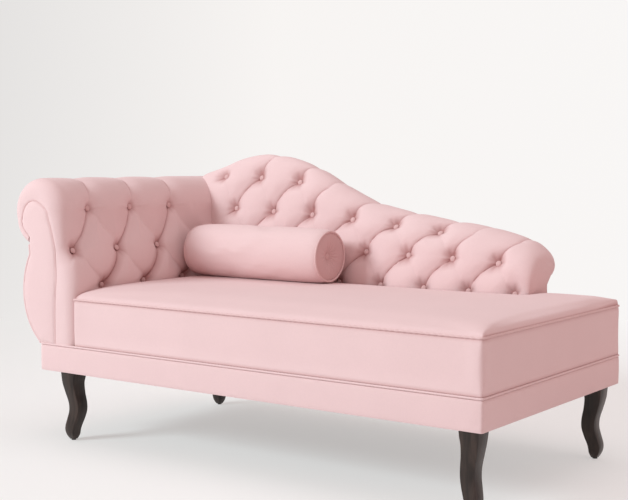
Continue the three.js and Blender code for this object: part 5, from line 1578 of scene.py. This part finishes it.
# %% The paper's material
def sweep_paper():
    made = bpy.data.materials.new("sweep_paper")
    made.use_nodes = True
    tree = made.node_tree
    shader = tree.nodes["Principled BSDF"]
    shader.inputs["Roughness"].default_value = 1.0
    shader.inputs["Specular IOR Level"].default_value = 0.0
    shader.inputs["Emission Strength"].default_value = 1.0
    here = node(tree, "ShaderNodeTexCoord").outputs["Object"]
    spot = node(tree, "ShaderNodeSeparateXYZ", {0: here})
    across = node(tree, "ShaderNodeMapRange", {0: spot.outputs["X"], 1: -2.4, 2: 2.4})
    # Painted shade: the paper's tone is darker towards the left.
    tone = node(tree, "ShaderNodeValToRGB", {"Fac": across.outputs[0]})
    stops = tone.color_ramp.elements
    stops[0].color, stops[1].color = PAPER_LEFT_PAINTED_SHADE, PAPER_RIGHT
    stops.new(0.45).color = PAPER_MIDDLE
    # Painted light: to the camera, the paper glows in its own tone, half near the front and fully
    # at the back.
    painted_glow_share = node(tree, "ShaderNodeMapRange",
               {0: spot.outputs["Y"], 1: 1.0, 2: 2.8, 3: 0.5, 4: 1.0})
    path = node(tree, "ShaderNodeLightPath").outputs
    seen = calc(tree, "MAXIMUM", path["Is Camera Ray"], path["Is Glossy Ray"])
    glow = calc(tree, "MULTIPLY", painted_glow_share.outputs[0], seen)
    lit = calc(tree, "SUBTRACT", 1.0, painted_glow_share.outputs[0])
    shown = mixed_color(tree, lit, BLACK, tone.outputs[0])
    glowing = mixed_color(tree, glow, BLACK, tone.outputs[0])
    tree.links.new(mixed_color(tree, seen, PAPER_LIT, shown), shader.inputs["Base Color"])
    tree.links.new(glowing, shader.inputs["Emission Color"])
    return made


def mixed_color(tree, share, first, second):
    mix = node(tree, "ShaderNodeMix", {"Factor": share}, data_type="RGBA")
    for index, value in ((6, first), (7, second)):
        if isinstance(value, bpy.types.NodeSocket):
            tree.links.new(value, mix.inputs[index])
        else:
            mix.inputs[index].default_value = value
    return mix.outputs[2]


# %% Make the sweep
def sweep():
    low, far, high, radius, below = -6.0, 5.0, 6.0, 2.2, 0.0004
    turn = np.linspace(-math.pi / 2, 0, 24)
    bend = [(far - radius + radius * math.cos(t), radius + radius * math.sin(t)) for t in turn]
    line = [(low, 0.0), (-2, 0.0), (0, 0.0), *bend, (far, high)]
    xs = (-9.0, 9.0)
    mesh = bpy.data.meshes.new("studio_sweep")
    points = [(x, y, z - below) for y, z in line for x in xs]
    faces = [(2 * i, 2 * i + 1, 2 * i + 3, 2 * i + 2) for i in range(len(line) - 1)]
    mesh.from_pydata(points, [], faces)
    mesh.shade_smooth()
    mesh.materials.append(sweep_paper())
    obj = linked("studio_sweep", mesh)
    obj.rotation_euler.z = math.radians(SWEEP_TURN)
    return obj


sweep()


# %% Lights and room
def area_light(name, spot, target, size, power, color):
    data = bpy.data.lights.new(name, "AREA")
    data.shape, data.size, data.size_y = "RECTANGLE", *size
    data.energy, data.color = power, color
    obj = linked(name, data)
    obj.location = spot
    obj.rotation_euler = (Vector(target) - Vector(spot)).to_track_quat("-Z", "Y").to_euler()
    return obj


area_light("key", (-5.2, -8.7, 5.7), (0, 0, 0.35), (3.9, 2.9), 880, (0.865, 1.055, 1.1))
area_light("top", (0.3, 0.2, 4.2), (0, 0, 0.3), (3.0, 3.0), 28, (0.8, 1.0, 1.05))
area_light("foot_fill", (2.9, 0.6, 0.9), (0.75, 0, 0.3), (1.5, 1.5), 6.5, (1.0, 0.86, 0.84))
world = bpy.data.worlds.new("room")
bpy.context.scene.world = world
world.use_nodes = True
room = world.node_tree
background = room.nodes["Background"]
background.inputs["Strength"].default_value = 1.0
seen = node(room, "ShaderNodeLightPath").outputs["Is Camera Ray"]
shade = mixed_color(room, seen, ROOM_LIGHT, ROOM_SEEN)
room.links.new(shade, background.inputs["Color"])

# %% [markdown]
# ## Camera
# The photograph's own view, worked out from the couch's straight edges: two of its parallel
# sides give the lens and the turn, and the seat's height gives the distance.

# %% Set the camera
CAMERA_AT, CAMERA_DOWN, CAMERA_TURN = (2.11175, -2.8381, 0.8207), 4.087, 36.197
SENSOR_WIDE, LENS = 36, 69.95
lens = bpy.data.cameras.new("camera")
camera = linked("camera", lens)
bpy.context.scene.camera = camera
camera.location = CAMERA_AT
camera.rotation_euler = (math.radians(90 - CAMERA_DOWN), 0, math.radians(CAMERA_TURN))
lens.sensor_width, lens.lens = SENSOR_WIDE, LENS
bpy.context.scene.view_settings.view_transform = "Standard"
